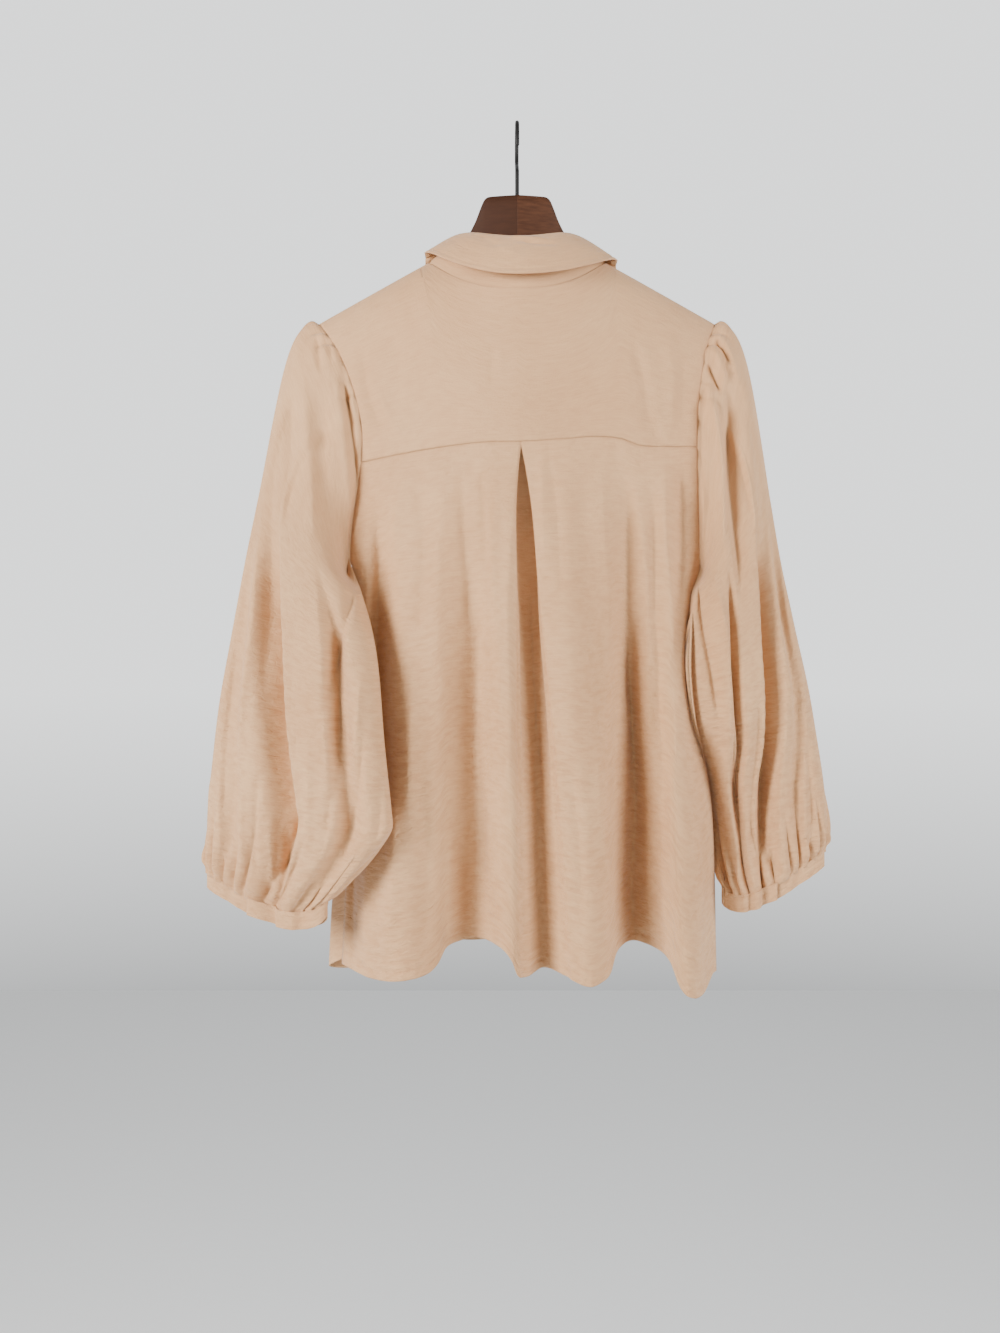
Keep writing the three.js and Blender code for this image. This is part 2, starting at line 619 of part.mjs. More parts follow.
function headPoint(sleeve, s, round) {
  const arm = sleeve.arm;
  const start = armholePoint(arm, round);
  const end = sleevePoint(sleeve, 0, round);
  const next = sleevePoint(sleeve, 0.03, round);
  const angle = 2 * Math.PI * round;
  const top = (1 + Math.cos(angle)) / 2;
  const reach = start.distanceTo(end);
  const leave = new THREE.Vector3(
    arm.side * mix(0.45, 1, top),
    -0.35 * Math.sin(angle),
    mix(-0.8, 0.22, top),
  );
  leave.normalize().multiplyScalar(mix(0.3, 0.18, top) * reach);
  const arrive = next.sub(end).normalize().multiplyScalar(-mix(0.3, 0.58, top) * reach);
  const curve = new THREE.CubicBezierCurve3(
    start,
    start.clone().add(leave),
    end.clone().add(arrive),
    end,
  );
  return curve.getPoint(s);
}

function sleeveGrid(sleeve) {
  const grid = [];
  const columns = Array.from({ length: SLEEVE_COLUMNS }, (_, j) => j);
  for (let i = 0; i < HEAD_ROWS; i++) {
    const s = i / HEAD_ROWS;
    grid.push(
      columns.map((j) => {
        const round = j / SLEEVE_COLUMNS;
        const point = headPoint(sleeve, s, round);
        const top = clamp((Math.cos(2 * Math.PI * round) + 0.5) / 1.2);
        const wave = GATHER.head * top * bump((s - 0.28) / 0.3) * (j % 2 ? 1 : -1);
        const angle = 2 * Math.PI * round;
        point.y -= wave * Math.sin(angle);
        point.z += wave * Math.cos(angle);
        return point;
      }),
    );
  }
  for (let i = 0; i < ARM_ROWS; i++) {
    const d = 1 - (1 - i / (ARM_ROWS - 1)) ** 1.25;
    grid.push(
      columns.map((j) => {
        const wave = GATHER.cuff * ease(GATHER.cuffFrom, 0.95, d) * (1 - 0.55 * ease(0.96, 1, d));
        return sleevePoint(sleeve, d, j / SLEEVE_COLUMNS, wave * (j % 2 ? 1 : -1));
      }),
    );
  }
  return grid;
}

// A cuff: a band whose lap with the buttonhole lies on the other, with the button between them
const CUFF = { high: 17, lap: 16, rows: 3, cols: 40 };
const CUFF_BUTTON_THICK = 1.8; // the room that the laps leave for it
function cuff(sleeve) {
  const ring = 250; // mm round, to share out the lap
  const lap = CUFF.lap / ring;
  const grid = [];
  for (let i = 0; i < CUFF.rows; i++) {
    const line = [];
    for (let j = 0; j < CUFF.cols; j++) {
      const t = j / (CUFF.cols - 1);
      const round = mix(-lap / 2, 1 + lap / 2, t) + sleeve.slit / 2;
      const lift = (CRISP + LAYER) / 2 + (CUFF_BUTTON_THICK + LAYER) / 2;
      const over = lift * (ease(0, 0.5, t) * 2 - 1) * bump(Math.min(t, 1 - t) / 0.22);
      const point = sleevePoint(sleeve, 1, round, 0.4 - over);
      point.z -= 1.7 + (CUFF.high * i) / (CUFF.rows - 1);
      line.push(point);
    }
    grid.push(line);
  }
  return wall(grid, CRISP);
}

// The hanger: stations from the middle out, with its upper and lower edge and half its thickness
const HANGER = [
  { x: 0, top: -72, bottom: -132, half: 8 },
  { x: 28, top: -72, bottom: -137, half: 7.6 },
  { x: 33, top: -74, bottom: -138.5, half: 7.4 },
  { x: 36, top: -82, bottom: -139.5, half: 7.2 },
  { x: 42, top: -97, bottom: -141, half: 6.8 },
  { x: 51, top: -112.5, bottom: -144, half: 6.4 },
  { x: 68, top: -130.5, bottom: -150, half: 6 },
  { x: 95, top: -145, bottom: -163, half: 5.8 },
  { x: 125, top: -158, bottom: -179, half: 5.6 },
  { x: 160, top: -175.5, bottom: -197, half: 5.4 },
  { x: 192, top: -191.5, bottom: -212, half: 5 },
  { x: 206, top: -199.5, bottom: -216, half: 4.6 },
  { x: 211, top: -203.5, bottom: -214, half: 3.4 },
];
const HANGER_MIDDLE_Y = -6.5; // the two arms are mitred here, and bow forward from here
const HANGER_ROUND = 8; // steps round each quarter pair of a section

function hangerWood() {
  const rings = [];
  const ring = (x, r) => {
    const line = [];
    const y = shoulderY(x) + HANGER_MIDDLE_Y + 0.1 * Math.min(Math.abs(x), 60);
    const [mid, high] = [(r.top + r.bottom) / 2, (r.top - r.bottom) / 2];
    for (let k = 0; k < 2 * HANGER_ROUND; k++) {
      const a = (Math.PI * (k + 0.5)) / HANGER_ROUND;
      const [c, s] = [Math.cos(a), Math.sin(a)];
      const soft = (v, p) => Math.sign(v) * Math.abs(v) ** p;
      line.push(new THREE.Vector3(x, y + r.half * soft(c, 0.45), mid + high * soft(s, 0.3)));
    }
    return line;
  };
  for (let i = HANGER.length - 1; i > 0; i--) rings.push(ring(-HANGER[i].x, HANGER[i]));
  for (const r of HANGER) rings.push(ring(r.x, r));
  return loft(rings);
}

// A closed solid through rings of points, with flat ends
function loft(rings) {
  const n = rings[0].length;
  const points = rings.flat();
  const faces = [];
  for (let i = 0; i < rings.length - 1; i++)
    for (let j = 0; j < n; j++) {
      const [a, b] = [i * n + j, i * n + ((j + 1) % n)];
      faces.push(a, b, b + n, a, b + n, a + n);
    }
  const cap = (first, flip) => {
    for (let j = 1; j < n - 1; j++)
      faces.push(first, first + (flip ? j : j + 1), first + (flip ? j + 1 : j));
  };
  cap(0, false);
  cap((rings.length - 1) * n, true);
  return solid(points, faces);
}

// The hook, a bent wire in the plane across the hanger, screwed into the top of the wood
const HOOK = { wire: 2, bend: 20, shankTop: -48, foot: -71.6 };
class HookLine extends THREE.Curve {
  getPoint(t) {
    const radius = HOOK.bend + HOOK.wire;
    const centre = -HOOK.bend;
    const straight = 0.22;
    if (t < straight) return new THREE.Vector3(0, HANGER_MIDDLE_Y, mix(HOOK.foot, HOOK.shankTop, t / straight));
    const u = (t - straight) / (1 - straight);
    const from = degrees(-68);
    const a = mix(from, degrees(205), u);
    const join = 1 - ease(0, 0.16, u);
    const y = radius * Math.cos(a);
    const z = centre + radius * Math.sin(a);
    const startZ = HOOK.shankTop + (z - (centre + radius * Math.sin(from)));
    return new THREE.Vector3(0, mix(y, HANGER_MIDDLE_Y, join), mix(z, startZ, join));
  }
}
function hook() {
  const rings = [];
  const line = new HookLine();
  const steps = 26;
  for (let i = 0; i <= steps; i++) {
    const t = i / steps;
    const at = line.getPoint(t);
    const along = line.getPoint(Math.min(1, t + 0.01)).sub(line.getPoint(Math.max(0, t - 0.01)));
    if (i === 0) along.set(0, 0, 1);
    along.normalize();
    const side = new THREE.Vector3(1, 0, 0);
    const up = along.clone().cross(side).normalize();
    const ring = [];
    for (let k = 0; k < 8; k++) {
      const a = (2 * Math.PI * k) / 8;
      ring.push(
        at
          .clone()
          .addScaledVector(side, HOOK.wire * Math.cos(a))
          .addScaledVector(up, HOOK.wire * Math.sin(a)),
      );
    }
    rings.push(ring);
  }
  return loft(rings);
}

// Buttons down the front
const BUTTON = { radius: 5.5, thick: 2, sides: 20, count: 7, top: -262, step: 82 };
function button(radius, thick, centre, normal) {
  const geometry = new THREE.CylinderGeometry(radius * 0.9, radius, thick, BUTTON.sides);
  const turn = new THREE.Quaternion().setFromUnitVectors(new THREE.Vector3(0, 1, 0), normal);
  geometry.applyQuaternion(turn);
  geometry.translate(centre.x, centre.y, centre.z);
  return geometry;
}

const group = new THREE.Group();
const FABRIC = { color: 0xd9b99b, roughness: 0.72, metalness: 0 };
const SHELL = { color: 0xe2cdb6, roughness: 0.35, metalness: 0 };
const WOOD = { color: 0x6b4a38, roughness: 0.5, metalness: 0 };
const BLACK_WIRE = { color: 0x1d1c1b, roughness: 0.35, metalness: 0.9 };
function piece(name, geometry, finish = FABRIC) {
  const mesh = new THREE.Mesh(geometry, new THREE.MeshStandardMaterial(finish));
  mesh.name = name;
  group.add(mesh);
  return mesh;
}
piece("yoke", yoke());
piece("back", back());
piece("front_left", front(ARMHOLES.left, true));
piece("front_right", front(ARMHOLES.right, false));
piece("button_band", buttonBand());
piece("collar_stand", stand());
piece("collar", collar());
piece("sleeve_left", wall(sleeveGrid(SLEEVES.left), CLOTH, true));
piece("sleeve_right", wall(sleeveGrid(SLEEVES.right), CLOTH, true));
piece("cuff_left", cuff(SLEEVES.left));
piece("cuff_right", cuff(SLEEVES.right));
piece("hanger", hangerWood(), WOOD);
piece("hook", hook(), BLACK_WIRE);
for (let i = 0; i < BUTTON.count; i++) {
  const z = BUTTON.top - i * BUTTON.step;
  const y = bandY(CENTRE_X, z) + BAND_WALL / 2 + LAYER + BUTTON.thick / 2;
  const at = new THREE.Vector3(CENTRE_X, y, z);
  const up = bandY(CENTRE_X, z + 10) - bandY(CENTRE_X, z - 10);
  const out = new THREE.Vector3(0, 20, -up).normalize();
  piece(`button_${i + 1}`, button(BUTTON.radius, BUTTON.thick, at, out), SHELL);
}

export default group;
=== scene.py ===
# %% [markdown]
# A loose blouse hangs on a wooden hanger, seen from behind. This lesson dresses its plain solids:
# each solid of cloth gives way to a thin shell with folds, creases, gathers and stitches, and the
# wood and the wire get their finishes. All shapes are worked out with numpy as grids of points.
# Sizes are in millimetres until a mesh is made, as a pattern cutter would write them.
# +Z is up, -Y comes out of the back with the pleat, and +X is the wearer's right.

import math

import bpy
import numpy as np
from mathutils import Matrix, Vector


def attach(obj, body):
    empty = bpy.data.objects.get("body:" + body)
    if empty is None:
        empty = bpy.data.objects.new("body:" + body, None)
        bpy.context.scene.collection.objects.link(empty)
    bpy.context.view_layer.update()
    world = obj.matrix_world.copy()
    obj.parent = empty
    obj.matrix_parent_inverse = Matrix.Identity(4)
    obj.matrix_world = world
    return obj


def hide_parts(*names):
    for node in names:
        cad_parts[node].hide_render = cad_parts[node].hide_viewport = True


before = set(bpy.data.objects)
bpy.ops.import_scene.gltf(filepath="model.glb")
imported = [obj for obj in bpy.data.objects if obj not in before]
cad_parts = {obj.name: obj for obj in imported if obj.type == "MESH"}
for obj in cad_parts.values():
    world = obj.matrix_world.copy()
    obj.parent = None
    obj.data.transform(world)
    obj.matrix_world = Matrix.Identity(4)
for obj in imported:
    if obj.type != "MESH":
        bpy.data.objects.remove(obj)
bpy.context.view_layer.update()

# %% [markdown]
# Cloth hangs in smooth curves, so nearly every shape here is built from four small functions: a
# mix of two values, an ease from 0 to 1, a round bump, and a smooth line through a short table.
# A table's columns have names, so that a size can be found and changed later.

# %% Small functions that work on whole arrays
def clamp(t):
    """t, held between 0 and 1."""
    return np.clip(t, 0.0, 1.0)


def mix(a, b, t):
    """a + (b - a) t, a straight line from a to b."""
    return a + (b - a) * t


def ease(start, end, at):
    """3 s^2 - 2 s^3, where s is the share of the way from start to end: a slow start and end."""
    s = clamp((at - start) / (end - start))
    return s * s * (3 - 2 * s)


def bump(t):
    """Half of 1 + cos(pi t) between -1 and 1, and 0 beyond: a round hill of height 1."""
    return np.where(np.abs(t) < 1, 0.5 + 0.5 * np.cos(np.pi * np.clip(t, -1, 1)), 0.0)


def table(columns, *rows):
    """Rows of numbers as one array for each named column."""
    return dict(zip(columns.split(), np.array(rows, float).T))


def through(values, key, at, column):
    """A smooth line through a table: cubic between two rows, and at each row it is as steep as
    the straight line from the row before to the row after."""
    order = np.argsort(values[key])
    keys, heights = values[key][order], values[column][order]
    at = np.asarray(at, float)
    i = np.clip(np.searchsorted(keys, at, side="right") - 1, 0, len(keys) - 2)
    before, after = np.maximum(i - 1, 0), np.minimum(i + 2, len(keys) - 1)
    span = keys[i + 1] - keys[i]
    t = clamp((at - keys[i]) / span)
    slope_a = (heights[i + 1] - heights[before]) / (keys[i + 1] - keys[before]) * span
    slope_b = (heights[after] - heights[i]) / (keys[after] - keys[i]) * span
    return (
        (2 * t**3 - 3 * t**2 + 1) * heights[i]
        + (t**3 - 2 * t**2 + t) * slope_a
        + (3 * t**2 - 2 * t**3) * heights[i + 1]
        + (t**3 - t**2) * slope_b
    )


# %% [markdown]
# Creases are placed one by one. Each is a line from one point to another, seen from behind, that may
# bow to one side. It is wide on one side and often sharper on the other, as cloth that has tipped
# over is, and it dies out towards both ends. High is how far it stands out, or in where negative.

# %% A table of creases as a height over x and z
CREASE = "x z to_x to_z bow left right high"


def creases(x, z, lines, seen=1.0):
    """For each line: high times exp(-|s / width|^1.6), where s is the distance from the bowed and
    slightly wavering line and width is that of its own side, faded out towards each end."""
    total = np.zeros(np.broadcast(x, z).shape)
    for k in range(len(lines["x"])):
        line = {name: lines[name][k] for name in lines}
        run_x, run_z = line["to_x"] - line["x"], line["to_z"] - line["z"]
        length = math.hypot(run_x, run_z)
        t = ((x - line["x"]) * run_x + (z - line["z"]) * run_z) / length**2
        side = ((x - line["x"]) * run_z - (z - line["z"]) * run_x) / length * np.sign(run_z or 1)
        side = side - line["bow"] * 4 * clamp(t) * (1 - clamp(t))
        side = side - min(0.012 * length, 2.2) * np.sin(t * length / 34 + 2.4 * k)
        width = np.where(side < 0, line["left"], line["right"])
        fade = ease(-0.02, 0.25, t) * (1 - ease(0.72, 1.02, t))
        total += line["high"] * np.exp(-(np.abs(side / width) ** 1.6)) * fade
    return total * seen


# %% [markdown]
# The body of the blouse has the same sizes as its plain solid: a shoulder line that the hanger
# carries, two armholes, and the outline down to the hem. The cloth comes round the shoulder and
# then hangs straight, and its front and back are drawn together at the side seams.

# %% Sizes of the body
NECK_SIDE_X, NECK_SIDE_Z = 95, -138
SHOULDER_SLOPE = 0.5
TIP_X, TIP_FORWARD = 202, 26
RIDGE_RADIUS = 8
BACK_REACH, BACK_LOST = 44, 13
FRONT_REACH, FRONT_LOST = 40, 18
REACH_AT = 170
ROUND_OFF = 30
YOKE_FRONT = 25
UNDERARM_Z = -438
HEM_Z, FRONT_HEM_Z = -826, -818
HEM_STITCH = 8
SIDE_SEAM_Y, SIDE_SEAM_GAP = 8, 0.3
SEAM, LAYER = 0.4, 0.4
TUCKED, SEAM_DIP, SEAM_WIDE = 1.6, 0.7, 5
LEFT = dict(side=-1, back=62, front=48, under=166, fade=72, column="left")
RIGHT = dict(side=1, back=25, front=36, under=184, fade=45, column="right")
BODY_SIDES = table(
    "z left right",
    (-438, -166, 184),
    (-540, -168, 179),
    (-620, -168, 188),
    (-700, -170, 197),
    (-860, -177, 201),
)


# %% The shoulder line and the cloth that falls from it
def shoulder_z(x):
    """The shoulder line falls in proportion to the distance from the side of the neck."""
    return NECK_SIDE_Z - SHOULDER_SLOPE * (np.abs(x) - NECK_SIDE_X)


def shoulder_y(x):
    """The shoulder line bows forward as the power 1.4 of the distance from the middle."""
    return TIP_FORWARD * (np.abs(x) / TIP_X) ** 1.4


def drop_at(along):
    """How far cloth has dropped at a distance along it from the shoulder line: a hyperbola, round
    over the line and straight further down."""
    return np.hypot(along, RIDGE_RADIUS) - RIDGE_RADIUS


def along_at(drop):
    """The distance along the cloth at a drop, the inverse of drop_at."""
    return np.sqrt((np.maximum(drop, 0) + RIDGE_RADIUS) ** 2 - RIDGE_RADIUS**2)


def y_along(x, along):
    """The cloth moves out from the shoulder line by its reach times 1 - exp(-along / 30)."""
    far = np.where(
        along > 0,
        BACK_REACH - BACK_LOST * (x / REACH_AT) ** 2,
        FRONT_REACH - FRONT_LOST * (x / REACH_AT) ** 2,
    )
    return shoulder_y(x) - np.sign(along) * far * (1 - np.exp(-np.abs(along) / ROUND_OFF))


def plain_y(x, z, face):
    """y of the plain body at x and z; face is 1 on the back and -1 on the front."""
    return y_along(x, face * np.maximum(along_at(shoulder_z(x) - z), 1e-6))


# %% The armholes and the sides
def armhole_x(arm, face, z):
    """The armhole's edge is drawn in from the shoulder tip, fast at first, by inset times
    1 - exp(-drop / fade), and eased back out to the underarm."""
    tip_z = shoulder_z(TIP_X)
    inset = arm["back"] if face > 0 else arm["front"]
    drawn = inset * (1 - np.exp(-np.maximum(tip_z - z, 0) / arm["fade"]))
    out = (arm["under"] - (TIP_X - inset)) * ease(tip_z - 100, UNDERARM_Z, z)
    return arm["side"] * (TIP_X - drawn + out)


def side_x(arm, face, z):
    """x of a side of the body: the armhole's edge, and below the underarm the side seam."""
    z = np.maximum(z, -860)
    below = through(BODY_SIDES, "z", z, arm["column"])
    return np.where(z > UNDERARM_Z, armhole_x(arm, face, z), below)


def body_y(x, z, face):
    """The plain body, eased to a flatter one at the hem, and drawn together towards the side
    seams by a high power of the share of the way out."""
    edge = np.where(x < 0, -side_x(LEFT, face, z), side_x(RIGHT, face, z))
    power = mix(5, 9, ease(UNDERARM_Z, HEM_Z, z))
    close = ease(-300, UNDERARM_Z, z) * clamp(np.abs(x) / edge) ** power
    down = ease(-380, HEM_Z, z)
    plain = mix(plain_y(x, z, face), -34 if face > 0 else 30, down)
    return mix(plain, SIDE_SEAM_Y - face * SIDE_SEAM_GAP, close)


def folds(values, column, x, down):
    """Each fold is a round bump whose middle moves straight from its place at the yoke to its
    place at the hem; the column gives its height."""
    total = 0
    for k in range(len(values["yoke"])):
        at = mix(values["yoke"][k], values["hem"][k], down)
        total = total + values[column][k] * bump((x - at) / values["half"][k])
    return total


def fade_to_side(x, z, face):
    """1 - share^14 of the way out to the side: folds end at the side seams."""
    edge = np.where(x < 0, side_x(LEFT, face, z), side_x(RIGHT, face, z))
    return 1 - clamp(x / edge) ** 14


def seam_dip(x, z, face):
    """Sewing draws the cloth in along an armhole or a side seam: the dip times a bump of the
    distance from it."""
    edge = np.where(x < 0, side_x(LEFT, face, z), side_x(RIGHT, face, z))
    return SEAM_DIP * bump((x - edge) / SEAM_WIDE)


def tucked(past):
    """How far a piece's edge lies under its neighbour, at a distance past the seam line: all of
    TUCKED before the line, and back to nothing over the next 4 mm."""
    return TUCKED * (1 - ease(-0.8, 4, past))


def hem_relief(x, above):
    """A narrow hem: the turned edge stands out a little below its stitch line, the stitches lie in
    a groove, and the cloth puckers along them by a sine whose pitch wanders."""
    groove = -0.5 * bump((above - HEM_STITCH) / 2) + 0.3 * (1 - ease(HEM_STITCH - 2, HEM_STITCH, above))
    wave = np.sin(x / 2.1 + 2.2 * np.sin(x / 13) + 1.3 * np.sin(x / 5.3))
    return groove + 0.55 * wave * np.exp(-np.abs(above - HEM_STITCH) / 8)


# %% [markdown]
# A mesh is made from a grid of points. The grid's own lengths, measured along the cloth, become
# its UV map in metres, so a weave drawn on that map runs with the threads round every fold. The
# Solidify modifier gives the sheet its thickness and closes its edges.

# %% From a grid of points to a sheet of cloth
MM = 0.001
CLOTH_WALL, CRISP_WALL = 0.7, 1.2


def normals(grid, tube=False):
    """The cross product of the steps across and down the grid, made 1 long."""
    if tube:
        across = np.roll(grid, -1, axis=1) - np.roll(grid, 1, axis=1)
    else:
        across = np.gradient(grid, axis=1)
    down = np.gradient(grid, axis=0)
    normal = np.cross(across, down)
    return normal / np.maximum(np.linalg.norm(normal, axis=2, keepdims=True), 1e-9)


def lengths(grid, axis):
    """The length run through along the grid, averaged over its lines."""
    steps = np.linalg.norm(np.diff(grid, axis=axis), axis=2).mean(axis=1 - axis)
    return np.concatenate([[0], np.cumsum(steps)])


def mesh_of(name, grid, tube=False):
    """Every four neighbours in the grid become one face; a tube's last column joins its first."""
    rows, cols = grid.shape[:2]
    wide = cols + 1 if tube else cols
    ring = np.concatenate([grid, grid[:, :1]], axis=1) if tube else grid
    u, v = np.meshgrid(lengths(ring, 1), lengths(ring, 0))
    i, j = np.meshgrid(np.arange(rows - 1), np.arange(wide - 1), indexing="ij")
    corners = [(i, j), (i + 1, j), (i + 1, j + 1), (i, j + 1)]
    faces = np.stack([r * cols + c % cols for r, c in corners], axis=-1).reshape(-1, 4)
    places = np.stack([np.stack([u[r, c], -v[r, c]], axis=-1) for r, c in corners], axis=-2)
    mesh = bpy.data.meshes.new(name)
    mesh.vertices.add(rows * cols)
    mesh.vertices.foreach_set("co", (grid * MM).ravel())
    mesh.loops.add(faces.size)
    mesh.loops.foreach_set("vertex_index", faces.ravel().astype(np.int32))
    mesh.polygons.add(len(faces))
    mesh.polygons.foreach_set("loop_start", np.arange(0, faces.size, 4, dtype=np.int32))
    mesh.polygons.foreach_set("use_smooth", np.ones(len(faces), dtype=bool))
    layer = mesh.uv_layers.new(name="cloth_lengths")
    layer.data.foreach_set("uv", (places * MM).astype(np.float32).ravel())
    mesh.update()
    mesh.validate()
    obj = bpy.data.objects.new(name, mesh)
    bpy.context.scene.collection.objects.link(obj)
    return obj


def outward(grid, toward):
    """The grid, turned over where its normals don't point toward the given way."""
    facing = (normals(grid) * np.asarray(toward, float)).sum()
    return grid[:, ::-1] if facing > 0 else grid


def cloth(name, grid, node, wall=CLOTH_WALL, tube=False):
    """A sheet with its thickness, riding on the one body, in place of its solid."""
    obj = mesh_of(name, grid, tube)
    thick = obj.modifiers.new("cloth_thickness", "SOLIDIFY")
    thick.thickness = wall * MM
    thick.offset = 0
    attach(obj, "root")
    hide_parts(node)
    triangles = len(obj.data.polygons) * 4
    print(f"{name}: a grid of {grid.shape[0]} by {grid.shape[1]}, about {triangles} triangles")
    return obj


# %% [markdown]
# The back hangs from the yoke in one piece. At the middle it is laid in an inverted pleat: the
# cloth doubles back under itself on both sides, so that two edges meet at the seam and part
# below it over the pleat's ground. The pleat needs columns that run back under the others, so
# each row is a line through a few control points there. The hem swings low at each fold.

# %% Sizes of the back
BACK_FOLDS = table(
    "yoke hem half out low",
    (-150, -158, 36, 0, 15),
    (-118, -112, 50, 21, 12),
    (-52, -42, 42, -25, -12),
    (-16, -6, 34, 26, 9),
    (34, 66, 44, 27, 11),
    (100, 122, 40, -32, -7),
    (158, 167, 33, 28, 24),
)
PLEAT_YOKE_X, PLEAT_HEM_X = 3, 27
PLEAT = table(
    "down gap under deep",
    (0, 0.7, 20, 3.6),
    (0.06, 5, 14, 9),
    (0.14, 8.5, 6, 15),
    (0.3, 11, 0, 20),
    (0.5, 17, -4, 19),
    (0.75, 21, -9, 15),
    (1, 24, -13, 11),
)
YOKE_SEAM = table(
    "x z",
    (-150, -337),
    (-95, -329),
    (-41, -323),
    (7, -322),
    (47, -319),
    (74, -316),
    (102, -317),
    (122, -323),
    (180, -321),
)
YOKE_SEAM_GAP, YOKE_TUCK = 0.8, 2.0
BACK_HEM = table(
    "x z",
    (-190, -839),
    (-171, -839),
    (-143, -843),
    (-103, -840),
    (-86, -836),
    (-77, -828),
    (-70, -815),
    (-60, -811),
    (-38, -809),
    (-16, -811),
    (-6, -820),
    (0, -835),
    (10, -839),
    (26, -835),
    (46, -838),
    (69, -845),
    (83, -841),
    (90, -836),
    (96, -821),
    (103, -816),
    (116, -815),
    (142, -821),
    (149, -828),
    (155, -846),
    (163, -856),
    (182, -859),
    (196, -846),
)
BACK_CREASES = table(
    CREASE,
    (-141, -370, -138, -740, 2, 8, 19, -19),
    (-118, -350, -115, -560, -2, 6, 9, 4.5),
    (-94, -335, -97, -520, 2, 8, 12, -3.5),
    (-70, -332, -76, -640, -3, 9, 14, 4),
    (-54, -336, -50, -520, 2, 5, 7, -2.6),
    (-41, -440, -36, -818, 2, 12, 8, -9),
    (-22, -340, -17, -640, -2, 8, 5, 4),
    (-33, -340, -31, -470, 0, 5, 4, -2),
    (-8, -345, -11, -700, 1, 6, 3, 2.4),
    (22, -335, 27, -450, 0, 4, 6, 2.6),
    (34, -340, 40, -480, 1, 5, 5, -2.0),
    (58, -330, 74, -600, 3, 12, 10, -3.0),
    (84, -335, 92, -620, 0, 8, 7, 3.4),
    (103, -332, 118, -700, 2, 8, 8, -8),
    (118, -470, 119, -860, 0, 17, 12, -22),
    (117, -340, 136, -700, 3, 5, 6, 3.6),
    (129, -345, 141, -600, 3, 5, 5, -3.6),
    (146, -335, 152, -560, 0, 6, 5, 5),
    (164, -330, 161, -480, 0, 7, 6, -9),
    (176, -420, 166, -640, -4, 8, 5, 4),
    (142, -520, 143, -860, 0, 12, 2.5, -8),
    (151, -540, 153, -850, 0, 4, 9, 5),
    (78, -600, 92, -800, 0, 5, 7, 3.4),
    (52, -620, 62, -815, 0, 8, 6, -4),
    (9, -437, 27, -690, 2, 3, 2.5, -3.0),
    (-90, -600, -90, -820, 0, 9, 9, -4),
    (-120, -660, -126, -835, 0, 8, 8, 4),
    (-104, -540, -106, -700, 2, 5, 7, 2.6),
    (-164, -560, -162, -850, 0, 11, 4, -20),
    (-149, -640, -147, -850, 0, 3, 9, 4),
    (-66, -700, -64, -822, 1, 5, 6, 3.2),
    (174, -700, 178, -850, 0, 6, 6, 3),
)
YOKE_PUCKER = table(
    "x wide out",
    (-112, 4, 1.1),
    (-99, 3, -0.9),
    (-86, 4, 1.0),
    (-66, 3, -0.8),
    (-52, 4, 0.9),
    (-33, 3, -1.0),
    (-24, 3, 0.9),
    (23, 4, 1.0),
    (31, 3, -0.9),
    (49, 4, 0.8),
    (88, 4, 1.0),
    (97, 3, -1.2),
    (107, 4, 1.2),
    (121, 3, -1.2),
    (133, 4, 1.0),
    (150, 3, -0.9),
)


# %% The back's surface
def yoke_z(x):
    """The yoke seam, a smooth line through its table."""
    return through(YOKE_SEAM, "x", x, "z")


def back_hem_z(x):
    """The hem, a smooth line through its table: lower where a fold stands out."""
    return through(BACK_HEM, "x", x, "z")


def spline(controls, at):
    """A smooth line through control points, one array for each, at a place counted in points:
    the cubic that passes through every point with the slope between its neighbours."""
    controls = np.stack(np.broadcast_arrays(*controls), axis=-1)[..., 0, :]
    i = np.clip(np.floor(at).astype(int), 1, controls.shape[-1] - 3)
    t = at - i
    a, b, c, d = (controls[..., i + k] for k in (-1, 0, 1, 2))
    return b + 0.5 * t * (c - a + t * (2 * a - 5 * b + 4 * c - d + t * (3 * (b - c) + d - a)))


def pucker(x, below):
    """Small folds that start at the yoke seam: each a bump across, dying out as
    exp(-below / 22) down."""
    total = 0
    for k in range(len(YOKE_PUCKER["x"])):
        total = total + YOKE_PUCKER["out"][k] * bump((x - YOKE_PUCKER["x"][k]) / YOKE_PUCKER["wide"][k] / 1.6)
    return total * ease(0, 7, below) * np.exp(-np.maximum(below, 0) / 22)


def close_ends(count):
    """Shares from 0 to 1 that lie closer at both ends: t - 0.6 sin(2 pi t) / (2 pi)."""
    t = np.linspace(0, 1, count)
    return t - 0.6 * np.sin(2 * np.pi * t) / (2 * np.pi)


